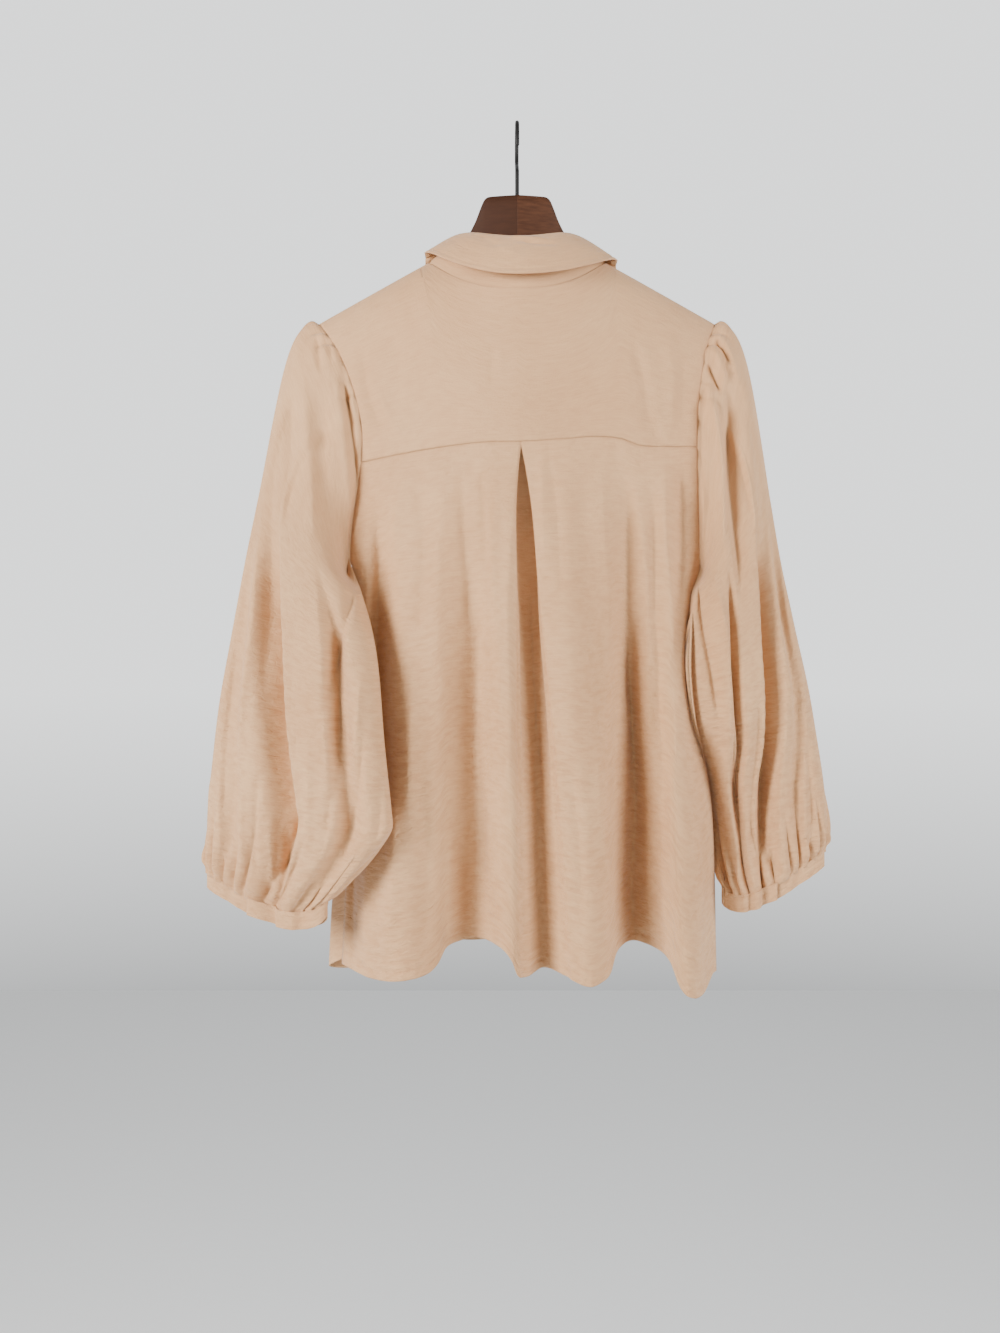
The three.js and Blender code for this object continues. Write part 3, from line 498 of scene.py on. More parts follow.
def back_grid(rows=176, left_cols=86, pleat_cols=70, right_cols=98):
    """Rows run down from under the yoke; x is a straight share of each side, and a line through
    control points in the pleat. y is the body's, less the folds' height, which grows as
    down^0.85."""
    down = close_ends(rows)[:, None]
    gap, under, deep = (through(PLEAT, "down", down, c) for c in ("gap", "under", "deep"))
    middle = mix(PLEAT_YOKE_X, PLEAT_HEM_X, down)
    opening = ease(0.4, 0.85, down)
    soft = 6 * opening
    top_left = mix(yoke_z(-150) - YOKE_SEAM_GAP, back_hem_z(-170), down)
    top_right = mix(yoke_z(178) - YOKE_SEAM_GAP, back_hem_z(188), down)
    left = side_x(LEFT, 1, top_left) + SEAM / 2
    right = side_x(RIGHT, 1, top_right) - SEAM / 2
    edge_l, edge_r = middle - gap, middle + gap
    t_left = np.linspace(0, 1, left_cols, endpoint=False)[None]
    t_right = np.linspace(0, 1, right_cols + 1)[None, 1:]
    at = np.linspace(1, 13, pleat_cols)
    xs = (
        edge_l - 8, edge_l - 1.5, edge_l, edge_l + 0.4 * soft, edge_l - under + 1 - soft,
        edge_l - under, edge_l - under + 1.5 + 0.7 * soft, middle,
        edge_r + under - 1.5 - 0.7 * soft, edge_r + under, edge_r + under - 1 + soft,
        edge_r - 0.4 * soft, edge_r, edge_r + 1.5, edge_r + 8,
    )
    shares = (0, 0, 0.12, 0.36, 0.48, 0.72, 0.96, 1, 0.96, 0.72, 0.48, 0.36, 0.12, 0, 0)
    homes = [edge_l - 8, edge_l - 1.5] + [mix(edge_l, at_x, opening) for at_x in xs[2:7]] + [middle]
    homes += [mix(edge_r, at_x, opening) for at_x in xs[8:13]] + [edge_r + 1.5, edge_r + 8]
    pleat_x = spline(xs, at)
    inward = spline([s * deep for s in shares], at)
    home = spline(homes, at)
    x = np.concatenate([mix(left, edge_l - 1.5, t_left), pleat_x, mix(edge_r + 1.5, right, t_right)], 1)
    face_x = np.concatenate([mix(left, edge_l - 1.5, t_left), home, mix(edge_r + 1.5, right, t_right)], 1)
    none_l, none_r = np.zeros((rows, left_cols)), np.zeros((rows, right_cols))
    inward = np.concatenate([none_l, inward, none_r], 1)
    z = mix(yoke_z(face_x) + YOKE_TUCK, back_hem_z(face_x), down)
    below = yoke_z(face_x) - z
    side = fade_to_side(face_x, z, 1)
    stand = folds(BACK_FOLDS, "out", face_x, down) * down**0.85 * side
    stand = stand + creases(face_x, z, BACK_CREASES) * ease(0, 26, below) * side
    stand = stand + pucker(face_x, below) + hem_relief(face_x, z - back_hem_z(face_x))
    drawn_in = seam_dip(face_x, z, 1) + tucked(below)
    return np.stack([x, body_y(face_x, z, 1) - stand + inward + drawn_in, z], axis=-1)


back_points = back_grid()
back = cloth("blouse_back", outward(back_points, (0, 1, 0)), "back")

# %% [markdown]
# The yoke is one piece of cloth over both shoulders. Its four edges are known: the neck with the
# two shoulder seams, the seam to the back, and the two armholes. A surface between four edges
# adds the straight mixes of opposite edges and takes off the mix of the four corners, which is
# called a Coons patch. Here it is worked out flat, as x and the length along the cloth.

# %% The yoke
NECK_HALF, NECK_BACK_Z, NECK_SEAM_Z, NECK_FRONT_Z = 90, -174, -135.5, -222
YOKE_NECK_X = 87
YOKE_CREASES = table(
    CREASE,
    (-25, -222, -26, -275, 0, 3, 4, -1.3),
    (-17, -236, -16, -262, 0, 3, 3, 0.9),
    (113, -222, 132, -296, 2, 5, 6, -1.0),
    (122, -222, 138, -280, 2, 5, 5, 0.7),
    (125, -284, 146, -338, 1, 4, 6, -1.3),
    (134, -280, 154, -332, 1, 5, 5, 0.9),
    (-128, -200, -118, -300, 6, 10, 6, -1.6),
    (-150, -215, -128, -318, -8, 6, 5, -2.2),
    (-140, -260, -108, -322, -4, 4, 4, 1.4),
    (116, -220, 131, -318, 2, 6, 5, -1.4),
    (150, -205, 148, -318, 3, 6, 8, 1.6),
    (164, -230, 160, -312, 0, 5, 5, -2.0),
    (40, -262, 42, -318, 0, 8, 8, -0.8),
    (-58, -268, -60, -320, 0, 7, 7, -0.8),
    (84, -280, 86, -315, 0, 5, 5, 0.8),
    (-60, -180, 60, -186, 10, 14, 8, 0.6),
)


def neck_back_z(x):
    """The neck seam at the back: low in the middle, rising as the power 2.5 to the shoulders."""
    return mix(NECK_BACK_Z, NECK_SEAM_Z, clamp(np.abs(x) / NECK_HALF) ** 2.5)


def neck_front_z(x):
    """The neck seam at the front, which rises as the square."""
    return mix(NECK_FRONT_Z, NECK_SEAM_Z, (x / NECK_HALF) ** 2)


def armhole_along(arm, along):
    """x of the armhole's edge at a length along the cloth, found by going round twelve times
    between x and the level that belongs to it."""
    x = arm["side"] * TIP_X + 0 * np.asarray(along, float)
    for _ in range(12):
        z = shoulder_z(x) - drop_at(along)
        x = np.where(along > 0, armhole_x(arm, 1, z), armhole_x(arm, -1, z))
    return x


def yoke_top(u):
    """The upper edge, as x and the length along the cloth: a shoulder seam, the neck from the
    front round the back, and the other shoulder seam."""
    shoulder, front = 0.2, 0.3
    side = np.where(u < 0.5, -1, 1)
    s = np.minimum(u, 1 - u)
    tip = np.where(u < 0.5, -armhole_along(LEFT, -YOKE_FRONT), armhole_along(RIGHT, -YOKE_FRONT))
    around = clamp((s - shoulder) / (0.5 - shoulder))
    t = clamp(around / front)
    x_seam = mix(tip, YOKE_NECK_X, s / shoulder)
    x_front = mix(YOKE_NECK_X, NECK_HALF, np.sin(t * np.pi / 2))
    x_neck = NECK_HALF * np.cos(clamp((around - front) / (1 - front)) * np.pi / 2)
    on_seam, on_front = s < shoulder, around < front
    x = side * np.where(on_seam, x_seam, np.where(on_front, x_front, x_neck))
    back_along = along_at(shoulder_z(x_neck) - neck_back_z(x_neck))
    along = np.where(on_seam, -YOKE_FRONT, np.where(on_front, -YOKE_FRONT * (1 - t), back_along))
    return x, along


def between(top, bottom, left, right, w, u):
    """A surface between four edges: top to bottom mixed by w, plus left to right mixed by u,
    less the mix of the four corners."""
    corner = [[edge(np.array(end)) for end in (0.0, 1.0)] for edge in (top, bottom)]
    ends = [mix(mix(corner[0][0][k], corner[0][1][k], u), mix(corner[1][0][k], corner[1][1][k], u), w) for k in (0, 1)]
    return [
        mix(top(u)[k], bottom(u)[k], w) + mix(left(w)[k], right(w)[k], u) - ends[k]
        for k in (0, 1)
    ]


def armhole_end(arm):
    """Where the yoke seam meets the armhole, as x and the length along the cloth."""
    z = yoke_z(-150 if arm["side"] < 0 else 178) - SEAM / 2
    x = armhole_x(arm, 1, z)
    return x, along_at(shoulder_z(x) - z)


def yoke_grid(rows=118, cols=190):
    """A Coons patch of x and the length along the cloth, whose rows lie closer together over the
    shoulder line."""
    ends = {"left": armhole_end(LEFT), "right": armhole_end(RIGHT)}

    def bottom(u):
        x = mix(ends["left"][0], ends["right"][0], u)
        return x, along_at(shoulder_z(x) - yoke_z(x) - SEAM / 2)

    def side(arm, end):
        def edge(w):
            along = mix(-YOKE_FRONT, end[1], w)
            return armhole_along(arm, along) - arm["side"] * SEAM / 2, along

        return edge

    w = (np.linspace(0, 1, rows) ** 1.2)[:, None]
    u = np.linspace(0, 1, cols)[None]
    x, along = between(yoke_top, bottom, side(LEFT, ends["left"]), side(RIGHT, ends["right"]), w, u)
    z = shoulder_z(x) - drop_at(along)
    y = np.where(along > 0, body_y(x, z, 1), y_along(x, np.where(along == 0, 1e-6, along)))
    relief = creases(x, z, YOKE_CREASES, ease(20, 60, along) * (1 - ease(0.965, 1, w)))
    relief = relief + np.where(along > 0, -seam_dip(x, z, 1), seam_dip(x, z, -1))
    relief = relief - 0.35 * bump((z - yoke_z(x)) / 3) * (along > 0)
    return np.stack([x, y - relief, z], axis=-1)


yoke_points = yoke_grid()
yoke = cloth("blouse_yoke", outward(yoke_points, (0, 1, 0)), "yoke")

# %% [markdown]
# The two fronts hang from the shoulder seams and the neck. The wearer's left front runs under
# the right one at the middle, and low down both swing out past their side seams, which shows
# from behind as a second edge beside the back's hem.

# %% The fronts and the button band
CENTRE_X, BAND, TUCK, BAND_WALL, FRONT_WALL = 3, 28, 24, 1.0, 1.2
FRONT_TUCK = 1.6
SWING = dict(left=37, right=11, width=22, start=-500, end=-800)
FRONT_FOLDS = table(
    "yoke hem half out low",
    (-120, -146, 48, 20, 34),
    (-70, -84, 42, -18, -4),
    (-34, -46, 30, 10, 4),
    (40, 52, 30, 12, 4),
    (78, 98, 44, -17, -2),
    (126, 152, 44, 20, 10),
)
FRONT_CREASES = table(
    CREASE,
    (-150, -215, -112, -330, -6, 7, 6, -2.5),
    (-96, -190, -84, -420, 4, 10, 7, 2.6),
    (-62, -260, -58, -540, 0, 8, 7, -2.4),
    (-104, -430, -110, -720, 4, 8, 11, -3.2),
    (-136, -470, -140, -780, 0, 6, 8, 2.8),
    (-40, -520, -44, -790, 2, 7, 7, 2.4),
    (-24, -300, -26, -470, 0, 4, 6, -1.2),
    (60, -250, 66, -520, 0, 8, 8, -2.4),
    (98, -190, 104, -420, -4, 8, 10, 2.6),
    (150, -215, 132, -340, 6, 6, 7, -2.5),
    (112, -440, 128, -740, -4, 10, 8, -3.2),
    (146, -470, 156, -790, 0, 8, 6, 2.8),
    (38, -540, 44, -790, 0, 7, 7, 2.2),
    (30, -280, 31, -440, 0, 6, 4, -1.2),
)


def front_hem_z(x):
    """The front's hem, lower where a fold stands out."""
    return FRONT_HEM_Z - folds(FRONT_FOLDS, "low", x, 1)


def front_y(x, z, detail=1.0):
    """The body's front with its folds, which grow in proportion to the way down, and creases."""
    neck = neck_front_z(np.minimum(np.abs(x), NECK_HALF))
    top = np.minimum(shoulder_z(x) - drop_at(YOKE_FRONT), neck)
    down = clamp((z - top) / (front_hem_z(x) - top))
    side = fade_to_side(x, z, -1)
    relief = creases(x, z, FRONT_CREASES, detail * side * ease(0, 0.05, down))
    relief = relief + hem_relief(x + 40, z - front_hem_z(x)) * detail - seam_dip(x, z, -1)
    return body_y(x, z, -1) + folds(FRONT_FOLDS, "out", x, down) * down * side + relief


def front_grid(arm, under, rows=170, cols=108):
    """A Coons patch of x and z between the shoulder and neck seams, the hem, the side and the
    front edge; the under front is set back below the other near the middle."""
    s = arm["side"]
    edge_x = CENTRE_X - s * BAND / 2
    seam_x = abs(float(armhole_along(arm, -YOKE_FRONT)))

    def seam_z(x):
        return shoulder_z(x) - drop_at(YOKE_FRONT) + FRONT_TUCK

    def top(u):
        on_seam = u < 0.5
        t = clamp((u - 0.5) / 0.5)
        x_seam = s * mix(seam_x, YOKE_NECK_X, u / 0.5)
        x_neck = mix(s * YOKE_NECK_X, edge_x, np.sin(t * np.pi / 2))
        neck = neck_front_z(x_neck)
        joined = np.minimum(neck, mix(seam_z(s * YOKE_NECK_X), neck, clamp(t * 6))) - SEAM / 2
        return np.where(on_seam, x_seam, x_neck), np.where(on_seam, seam_z(x_seam), joined)

    hem_x = float(side_x(arm, -1, FRONT_HEM_Z)) - s * SEAM / 2
    top_outer, top_inner = float(top(np.array(0.0))[1]), float(top(np.array(1.0))[1])

    def bottom(u):
        x = mix(hem_x, edge_x, u)
        return x, front_hem_z(x)

    def outer(w):
        z = mix(top_outer, float(front_hem_z(hem_x)), w)
        return side_x(arm, -1, z) - s * SEAM / 2, z

    def inner(w):
        return edge_x + 0 * w, mix(top_inner, float(front_hem_z(edge_x)), w)

    w = close_ends(rows)[:, None]
    u = np.linspace(0, 1, cols)[None]
    x, z = between(top, bottom, outer, inner, w, u)
    inside = np.abs(side_x(arm, -1, z)) - SWING["width"] - np.abs(x)
    low = ease(SWING["start"], SWING["end"], z)
    swing = SWING[arm["column"]] * low * bump(inside / SWING["width"])
    reach = abs(edge_x)
    below = ease(CENTRE_X + s * (reach + TUCK), CENTRE_X + s * reach, x) if under else 0
    past = shoulder_z(x) - drop_at(YOKE_FRONT) - z
    over = tucked(past) * ease(YOKE_NECK_X - 12, YOKE_NECK_X, np.abs(x))
    y = front_y(x, z) - below * (FRONT_WALL + LAYER) - over
    return np.stack([x + s * swing, y, z], axis=-1)


def band_y(x, z):
    """The button band lies on the front with a small gap."""
    return front_y(x, z) + FRONT_WALL / 2 + LAYER + BAND_WALL / 2


def band_grid(rows=230, cols=15):
    """Straight strips from the neck seam to the hem, on the front's surface."""
    x = np.linspace(CENTRE_X - BAND / 2, CENTRE_X + BAND / 2, cols)[None] + np.zeros((rows, 1))
    z = mix(neck_front_z(x) - SEAM, front_hem_z(x), np.linspace(0, 1, rows)[:, None])
    return np.stack([x, band_y(x, z), z], axis=-1)


front_left_points = front_grid(LEFT, True)
front_left = cloth("blouse_front_left", outward(front_left_points, (0, -1, 0)), "front_left")
front_right_points = front_grid(RIGHT, False)
front_right = cloth("blouse_front_right", outward(front_right_points, (0, -1, 0)), "front_right")
band_points = band_grid()
button_band = cloth("blouse_button_band", outward(band_points, (0, -1, 0)), "button_band", 0.9)

# %% [markdown]
# The collar has two pieces: a stand that rises from the neck seam, and a leaf that rolls over
# the top of the stand and falls outside it. The neck is a ring round the hanger, so both are
# functions of an angle round that ring and a share of the way up or down.

# %% The collar's stand and leaf
FOLD = dict(half_x=56, half_y=36, back_z=-125, side_z=-114, front_z=-186)
LEAF = dict(back_z=-166, point_z=-255, wide=0.5)
LEAF_LEFT, LEAF_RIGHT = dict(half=91, z=-129), dict(half=99, z=-136.5)
NECK_SEAM_GAP = 1.2
STAND_OVERLAP, LEAF_OPEN = math.radians(10), math.radians(15)
CRISP = 1.6


COLLAR_CREASES = table(
    CREASE,
    (-8, -4, 24, -14, 1, 3, 4, 2.6),
    (0, -11, 32, -22, -1, 3, 3, -2.4),
    (-36, -6, -10, -26, 2, 5, 4, -1.5),
    (-52, -8, -30, -34, 0, 6, 5, 0.8),
    (34, -8, 50, -30, 0, 5, 6, -0.9),
    (-16, -18, 6, -46, 2, 6, 5, 0.7),
)


def neck_seam(angle):
    """The neck seam round the body: x goes as the sine of the angle, z is the seam's level at
    that x, and y lies on the body."""
    x = NECK_HALF * np.sin(angle)
    at_front = np.cos(angle) > 0
    z = np.where(at_front, neck_front_z(x), neck_back_z(x)) + NECK_SEAM_GAP
    level = np.minimum(z, shoulder_z(x))
    y = np.where(at_front, plain_y(x, level, -1), plain_y(x, level, 1))
    return np.stack([x, y, z], axis=-1)


def collar_fold(angle):
    """The fold over the stand: an oval, lower at the front than at the sides."""
    s, c = np.sin(angle), np.cos(angle)
    z = mix(FOLD["side_z"], np.where(c > 0, FOLD["front_z"], FOLD["back_z"]), np.abs(c) ** 2.6)
    return np.stack([FOLD["half_x"] * s, FOLD["half_y"] * c, z], axis=-1)


def leaf_edge(angle):
    """The leaf's outer edge: wider than the fold, low at the points in front, clear of the body."""
    s, c = np.sin(angle), np.cos(angle)
    half = np.where(s < 0, LEAF_LEFT["half"], LEAF_RIGHT["half"])
    side_z = np.where(s < 0, LEAF_LEFT["z"], LEAF_RIGHT["z"])
    x = half * s * (1 + LEAF["wide"] * np.maximum(0, c) ** 2)
    front = mix(side_z, LEAF["point_z"], np.maximum(c, 0) ** 1.25)
    z = np.where(c > 0, front, mix(LEAF["back_z"], side_z, s * s))
    level = np.minimum(z, shoulder_z(x))
    body = np.where(c > 0, plain_y(x, level, -1), plain_y(x, level, 1))
    y = np.where(c > 0, np.maximum(body + 7, 14), np.minimum(body - 8, 52 * c + 6 * (1 + c)))
    return np.stack([x, y, z], axis=-1)


def stand_grid(rows=18, cols=210):
    """Straight lines from the neck seam up to the fold, whose two ends lap at the front."""
    angle = np.linspace(-STAND_OVERLAP, 2 * np.pi + STAND_OVERLAP, cols)[None]
    up = np.linspace(0, 1, rows)[:, None, None]
    seam = neck_seam(angle)
    inside = (1 - ease(0, 0.16, up)) * np.array([1.0, 1.0, 2.4])
    seam = seam - inside * np.stack([np.sin(angle), np.cos(angle), 1 + 0 * angle], -1)
    points = mix(seam, collar_fold(angle), up)
    layer = mix(0.5, -0.5, clamp((angle - np.pi) / 1.5 + 0.5)) * (CRISP + LAYER)
    points[..., 1] += layer * np.maximum(0, np.cos(angle))
    return points


def collar_grid(rows=48, cols=250):
    """Straight lines from the fold to the outer edge, lifted off them by a roll that rises fast
    and then stays, and kept clear of the body."""
    angle = np.linspace(LEAF_OPEN, 2 * np.pi - LEAF_OPEN, cols)[None]
    t = np.linspace(0, 1, rows)[:, None] ** 1.35
    fold = collar_fold(angle) + np.array([0, 0, CRISP + LAYER + 1])
    fall = leaf_edge(angle) - fold
    flat = fall * np.array([1, 1, 0])
    flat = flat / np.linalg.norm(flat, axis=-1, keepdims=True)
    away = flat * -fall[..., 2:3] + np.array([0, 0, 1]) * np.hypot(fall[..., :1], fall[..., 1:2])
    away = away / np.linalg.norm(away, axis=-1, keepdims=True)
    behind = np.abs(np.cos(angle)) ** 1.5
    roll = mix(0.4, 2.6, behind) * np.sin(np.pi * t)
    lift = mix(3, 3.8, behind) * (1 - (1 - t) ** 7) + roll
    at_x = fold[..., 0]
    crumple = creases(at_x + 0 * t, -60 * t + 0 * at_x, COLLAR_CREASES)
    stitched = -0.5 * bump((t - 0.9) / 0.05) + 0.25 * ease(0.9, 0.96, t)
    pucker_ = 0.3 * np.sin(angle * 95 + 2 * np.sin(angle * 13)) * bump((t - 0.88) / 0.14)
    lift = lift + crumple * behind + (stitched + pucker_) * ease(0, 0.5, t)
    points = fold + fall * t[..., None] + away * lift[..., None]
    x, y, z = points[..., 0], points[..., 1], points[..., 2]
    at_front = np.cos(angle) > 0
    low = z < shoulder_z(x)
    clear_front, clear_back = plain_y(x, z, -1) + 4, plain_y(x, z, 1) - 4
    kept = np.where(at_front, np.maximum(y, clear_front), np.minimum(y, clear_back))
    return np.stack([x, np.where(low, kept, y), z], axis=-1)


stand_points = stand_grid()
collar_stand = cloth("blouse_collar_stand", stand_points, "collar_stand", CRISP_WALL)
collar_points = collar_grid()
collar = cloth("blouse_collar", collar_points, "collar", CRISP_WALL)

# %% [markdown]
# A sleeve is a tube that hangs flat. Its rows have an outer and an inner edge, and half the
# thickness between. From the armhole to the first row each column is a cubic curve, which leaves
# the shoulder and arrives along the sleeve. Long folds are laid into both faces: soft on the outer
# side and sharp on the inner one, where the cloth tips over. Gathers are rounded ridges with sharp
# valleys, which grow towards the cuff and at the sleeve head.

# %% Sizes of the sleeves
SLEEVE_ROW = "d out_x out_z out_y in_x in_z in_y half sag"
SLEEVE_FOLD = "face top bottom outside inside deep"
LEFT_SLEEVE = dict(
    arm=LEFT,
    rows=table(
        SLEEVE_ROW,
        (0, -258, -372, 16, -156, -470, -30, 30, 0),
        (0.15, -269, -432, 12, -144, -506, -46, 32, 0),
        (0.3, -280, -492, 8, -136, -545, -56, 31, 0),
        (0.5, -295, -575, 4, -129, -613, -64, 29, 0),
        (0.7, -304, -650, 2, -121, -680, -69, 27, 4),
        (0.735, -306, -662, 2, -120.5, -693, -69, 26, 5),
        (0.78, -307, -678, 1, -129, -707, -66, 24, 8),
        (0.85, -308, -702, 0, -146, -727, -60, 20, 12),
        (1, -308, -741, 0, -185, -762, -44, 11.5, 19),
    ),
    folds=table(
        SLEEVE_FOLD,
        (1, 0.66, 0.4, 0.2, 0.045, 29),
        (1, 0.24, 0.19, 0.05, 0.15, 17),
        (1, 0.9, 0.78, 0.09, 0.07, 6),
        (-1, 0.35, 0.42, 0.12, 0.07, 16),
        (-1, 0.72, 0.68, 0.1, 0.1, 13),
    ),
    slit=0.5,
)
RIGHT_SLEEVE = dict(
    arm=RIGHT,
    rows=table(
        SLEEVE_ROW,
        (0, 253, -372, 16, 176, -470, -10, 28, 0),
        (0.15, 262, -432, 14, 173, -502, -20, 30, 0),
        (0.3, 274, -492, 12, 171, -545, -26, 30, 0),
        (0.45, 289, -556, 9, 176, -592, -22, 30, 0),
        (0.57, 298, -600, 7, 187, -630, -2, 29, 1),
        (0.7, 306, -648, 4, 190, -670, 18, 27, 3),
        (0.85, 309, -690, 0, 197, -717, 17, 20, 9),
        (1, 306, -720, 0, 206, -757, -3, 11.5, 16),
    ),
    folds=table(
        SLEEVE_FOLD,
        (1, 0.68, 0.38, 0.17, 0.045, 29),
        (1, 0.0, 0.02, 0.2, 0.1, 22),
        (1, 0.3, 0.25, 0.06, 0.045, 15),
        (1, 0.9, 0.72, 0.09, 0.08, 8),
        (-1, 0.38, 0.46, 0.12, 0.08, 15),
        (-1, 0.74, 0.72, 0.1, 0.1, 12),
    ),
    slit=0.56,
)
GATHERS = 24
CUFF_GATHER, CUFF_GATHER_FROM, HEAD_GATHER = 6.0, 0.79, 3.2
ARMHOLE_GAP = 1


# %% The sleeve's surface
def sleeve_point(sleeve, d, around, out=0.0):
    """A point at d down the sleeve and at a share of the way round: outer edge 0, back a quarter,
    inner edge a half. Across is (1 + cos) / 2 from the inner edge, the thickness goes as
    |sin|^0.8, and each fold takes its bump off that."""
    at = {c: through(sleeve["rows"], "d", d, c) for c in SLEEVE_ROW.split()[1:]}
    angle = 2 * np.pi * around
    across = (1 + np.cos(angle)) / 2
    face = np.where(np.sin(angle) >= 0, 1, -1)
    stand = at["half"] * np.abs(np.sin(angle)) ** 0.8
    lines = sleeve["folds"]
    for k in range(len(lines["face"])):
        off = across - mix(lines["top"][k], lines["bottom"][k], d)
        off = off / np.where(off > 0, lines["outside"][k], lines["inside"][k])
        share = np.minimum(1, (at["half"] / 28) ** 1.5) * (face == lines["face"][k])
        share = share * mix(0.05, 1, ease(-0.02, 0.28, d))
        stand = stand - lines["deep"][k] * bump(off) * share
    side_x_, side_y_ = at["out_y"] - at["in_y"], at["in_x"] - at["out_x"]
    length = np.hypot(side_x_, side_y_) * np.where(side_y_ > 0, -1, 1)
    side_x_, side_y_ = side_x_ / length, side_y_ / length
    sag = at["sag"] * np.sin(np.pi * across**0.6)
    z = mix(at["in_z"], at["out_z"], across) - sag
    end = np.cos(angle) * np.sign(at["out_x"])
    normal_x = side_x_ * np.sin(angle) + end
    normal_y = side_y_ * np.sin(angle)
    size = np.hypot(normal_x, normal_y)
    x = mix(at["in_x"], at["out_x"], across) + side_x_ * stand * face + normal_x / size * out
    y = mix(at["in_y"], at["out_y"], across) + side_y_ * stand * face + normal_y / size * out
    return np.stack(np.broadcast_arrays(x, y, z), axis=-1)


def armhole_point(arm, around):
    """The armhole as a ring: down the back from the shoulder tip to the underarm, up the front."""
    down = np.where(around <= 0.5, around * 2, (1 - around) * 2)
    z = mix(shoulder_z(TIP_X), UNDERARM_Z, (1 - np.cos(np.pi * down)) / 2) - 0.01
    at_back = around <= 0.5
    x = np.where(at_back, armhole_x(arm, 1, z), armhole_x(arm, -1, z)) + arm["side"] * ARMHOLE_GAP
    y = np.where(at_back, body_y(x, z, 1), body_y(x, z, -1))
    y = np.where(shoulder_z(x) - z < 0.02, shoulder_y(x), y)
    y = np.where(down > 0.999, SIDE_SEAM_Y, y)
    return np.stack([x, y, z], axis=-1)


def head_point(sleeve, s, around):
    """A cubic curve in Bernstein form from the armhole to the sleeve's first row."""
    arm = sleeve["arm"]
    start, end = armhole_point(arm, around), sleeve_point(sleeve, 0.0, around)
    following = sleeve_point(sleeve, 0.03, around)
    angle = 2 * np.pi * around
    top = (1 + np.cos(angle)) / 2
    reach = np.linalg.norm(end - start, axis=-1, keepdims=True)
    leave = np.stack([arm["side"] * mix(0.45, 1, top), -0.35 * np.sin(angle), mix(-0.8, 0.22, top)], -1)
    leave = leave / np.linalg.norm(leave, axis=-1, keepdims=True)
    leave = leave * mix(0.3, 0.18, top)[..., None] * reach
    arrive = following - end
    arrive = arrive / np.linalg.norm(arrive, axis=-1, keepdims=True)
    arrive = arrive * -mix(0.3, 0.58, top)[..., None] * reach
    s = s[..., None]
    return (
        (1 - s) ** 3 * start
        + 3 * (1 - s) ** 2 * s * (start + leave)
        + 3 * (1 - s) * s**2 * (end + arrive)
        + s**3 * end
    )


def gathers(around, count=GATHERS, sharp=0.8):
    """2 |sin(pi n r)|^0.8 - 1: rounded ridges between sharp valleys. The spacing is uneven,
    because r is shifted by two slow waves."""
    uneven = around + 0.006 * np.sin(2 * np.pi * 5 * around + 1) + 0.004 * np.sin(2 * np.pi * 11 * around)
    return 2 * np.abs(np.sin(np.pi * count * uneven)) ** sharp - 1


def ring_inward(ring):
    """Unit steps from each point of a ring toward its middle, seen along x."""
    inward = (ring.mean(axis=1, keepdims=True) - ring) * np.array([0, 1, 0.4])
    return inward / np.linalg.norm(inward, axis=-1, keepdims=True)


def sleeve_grid(sleeve, relief, head_rows=46, arm_rows=110, cols=270):
    """Two rows tucked under the armhole's edge, the head's curves, then the hanging tube down to
    the cuff and into it, with gathers at both ends and listed creases on both faces."""
    around = np.arange(cols)[None] / cols
    angle = 2 * np.pi * around
    s = np.linspace(0, 1, head_rows, endpoint=False)[:, None]
    head = head_point(sleeve, s + 0 * around, around + 0 * s)
    top = clamp((np.cos(angle) + 0.5) / 1.2)
    size = HEAD_GATHER * (0.75 + 0.4 * np.sin(7 * angle + 1) * np.cos(3 * angle))
    wave = size * top * bump((s - 0.07) / 0.17) * gathers(around, 30)
    head[..., 1] -= wave * np.sin(angle)
    head[..., 2] += wave * np.cos(angle)
    inward = ring_inward(head[:1])
    head += inward * (TUCKED * 0.8 * (1 - ease(0, 0.055, s)))[..., None]
    under = np.array([1.0, 0, 0]) * -sleeve["arm"]["side"]
    tuck = [head[:1] + under * x + inward * deep for x, deep in ((5, 1.6), (1.6, 0.9))]
    d = 1 - (1 - np.linspace(0, 1, arm_rows)[:, None]) ** 1.25
    uneven = 0.85 + 0.3 * np.sin(5 * angle + 2) * np.cos(2 * angle)
    grow = ease(CUFF_GATHER_FROM + 0.07 * np.sin(9 * angle) + 0.04 * np.sin(17 * angle), 0.96, d)
    size = CUFF_GATHER * uneven * grow * (1 - 0.55 * ease(0.97, 1, d))
    arm = sleeve_point(sleeve, d + 0 * around, around + 0 * d, size * gathers(around))
    into_cuff = arm[-1:] + (arm[-1:].mean(axis=1, keepdims=True) - arm[-1:]) * np.array([0.01, 0.08, 0])
    into_cuff = into_cuff - np.array([0, 0, 1.0]) * np.array([2.2, 5.0])[:, None, None]
    grid = np.concatenate([*tuck, head, arm, into_cuff], axis=0)
    row = np.concatenate([[[0.0], [0.0]], s, 1 + d, [[2.0], [2.0]]])
    fade = ease(0, 0.1, row) * (1 - ease(1.93, 2, row))
    for face, lines in relief.items():
        seen = clamp(3 * np.sin(angle) * face) * fade
        grid[..., 1] -= face * creases(grid[..., 0], grid[..., 2], lines, seen)
    return grid


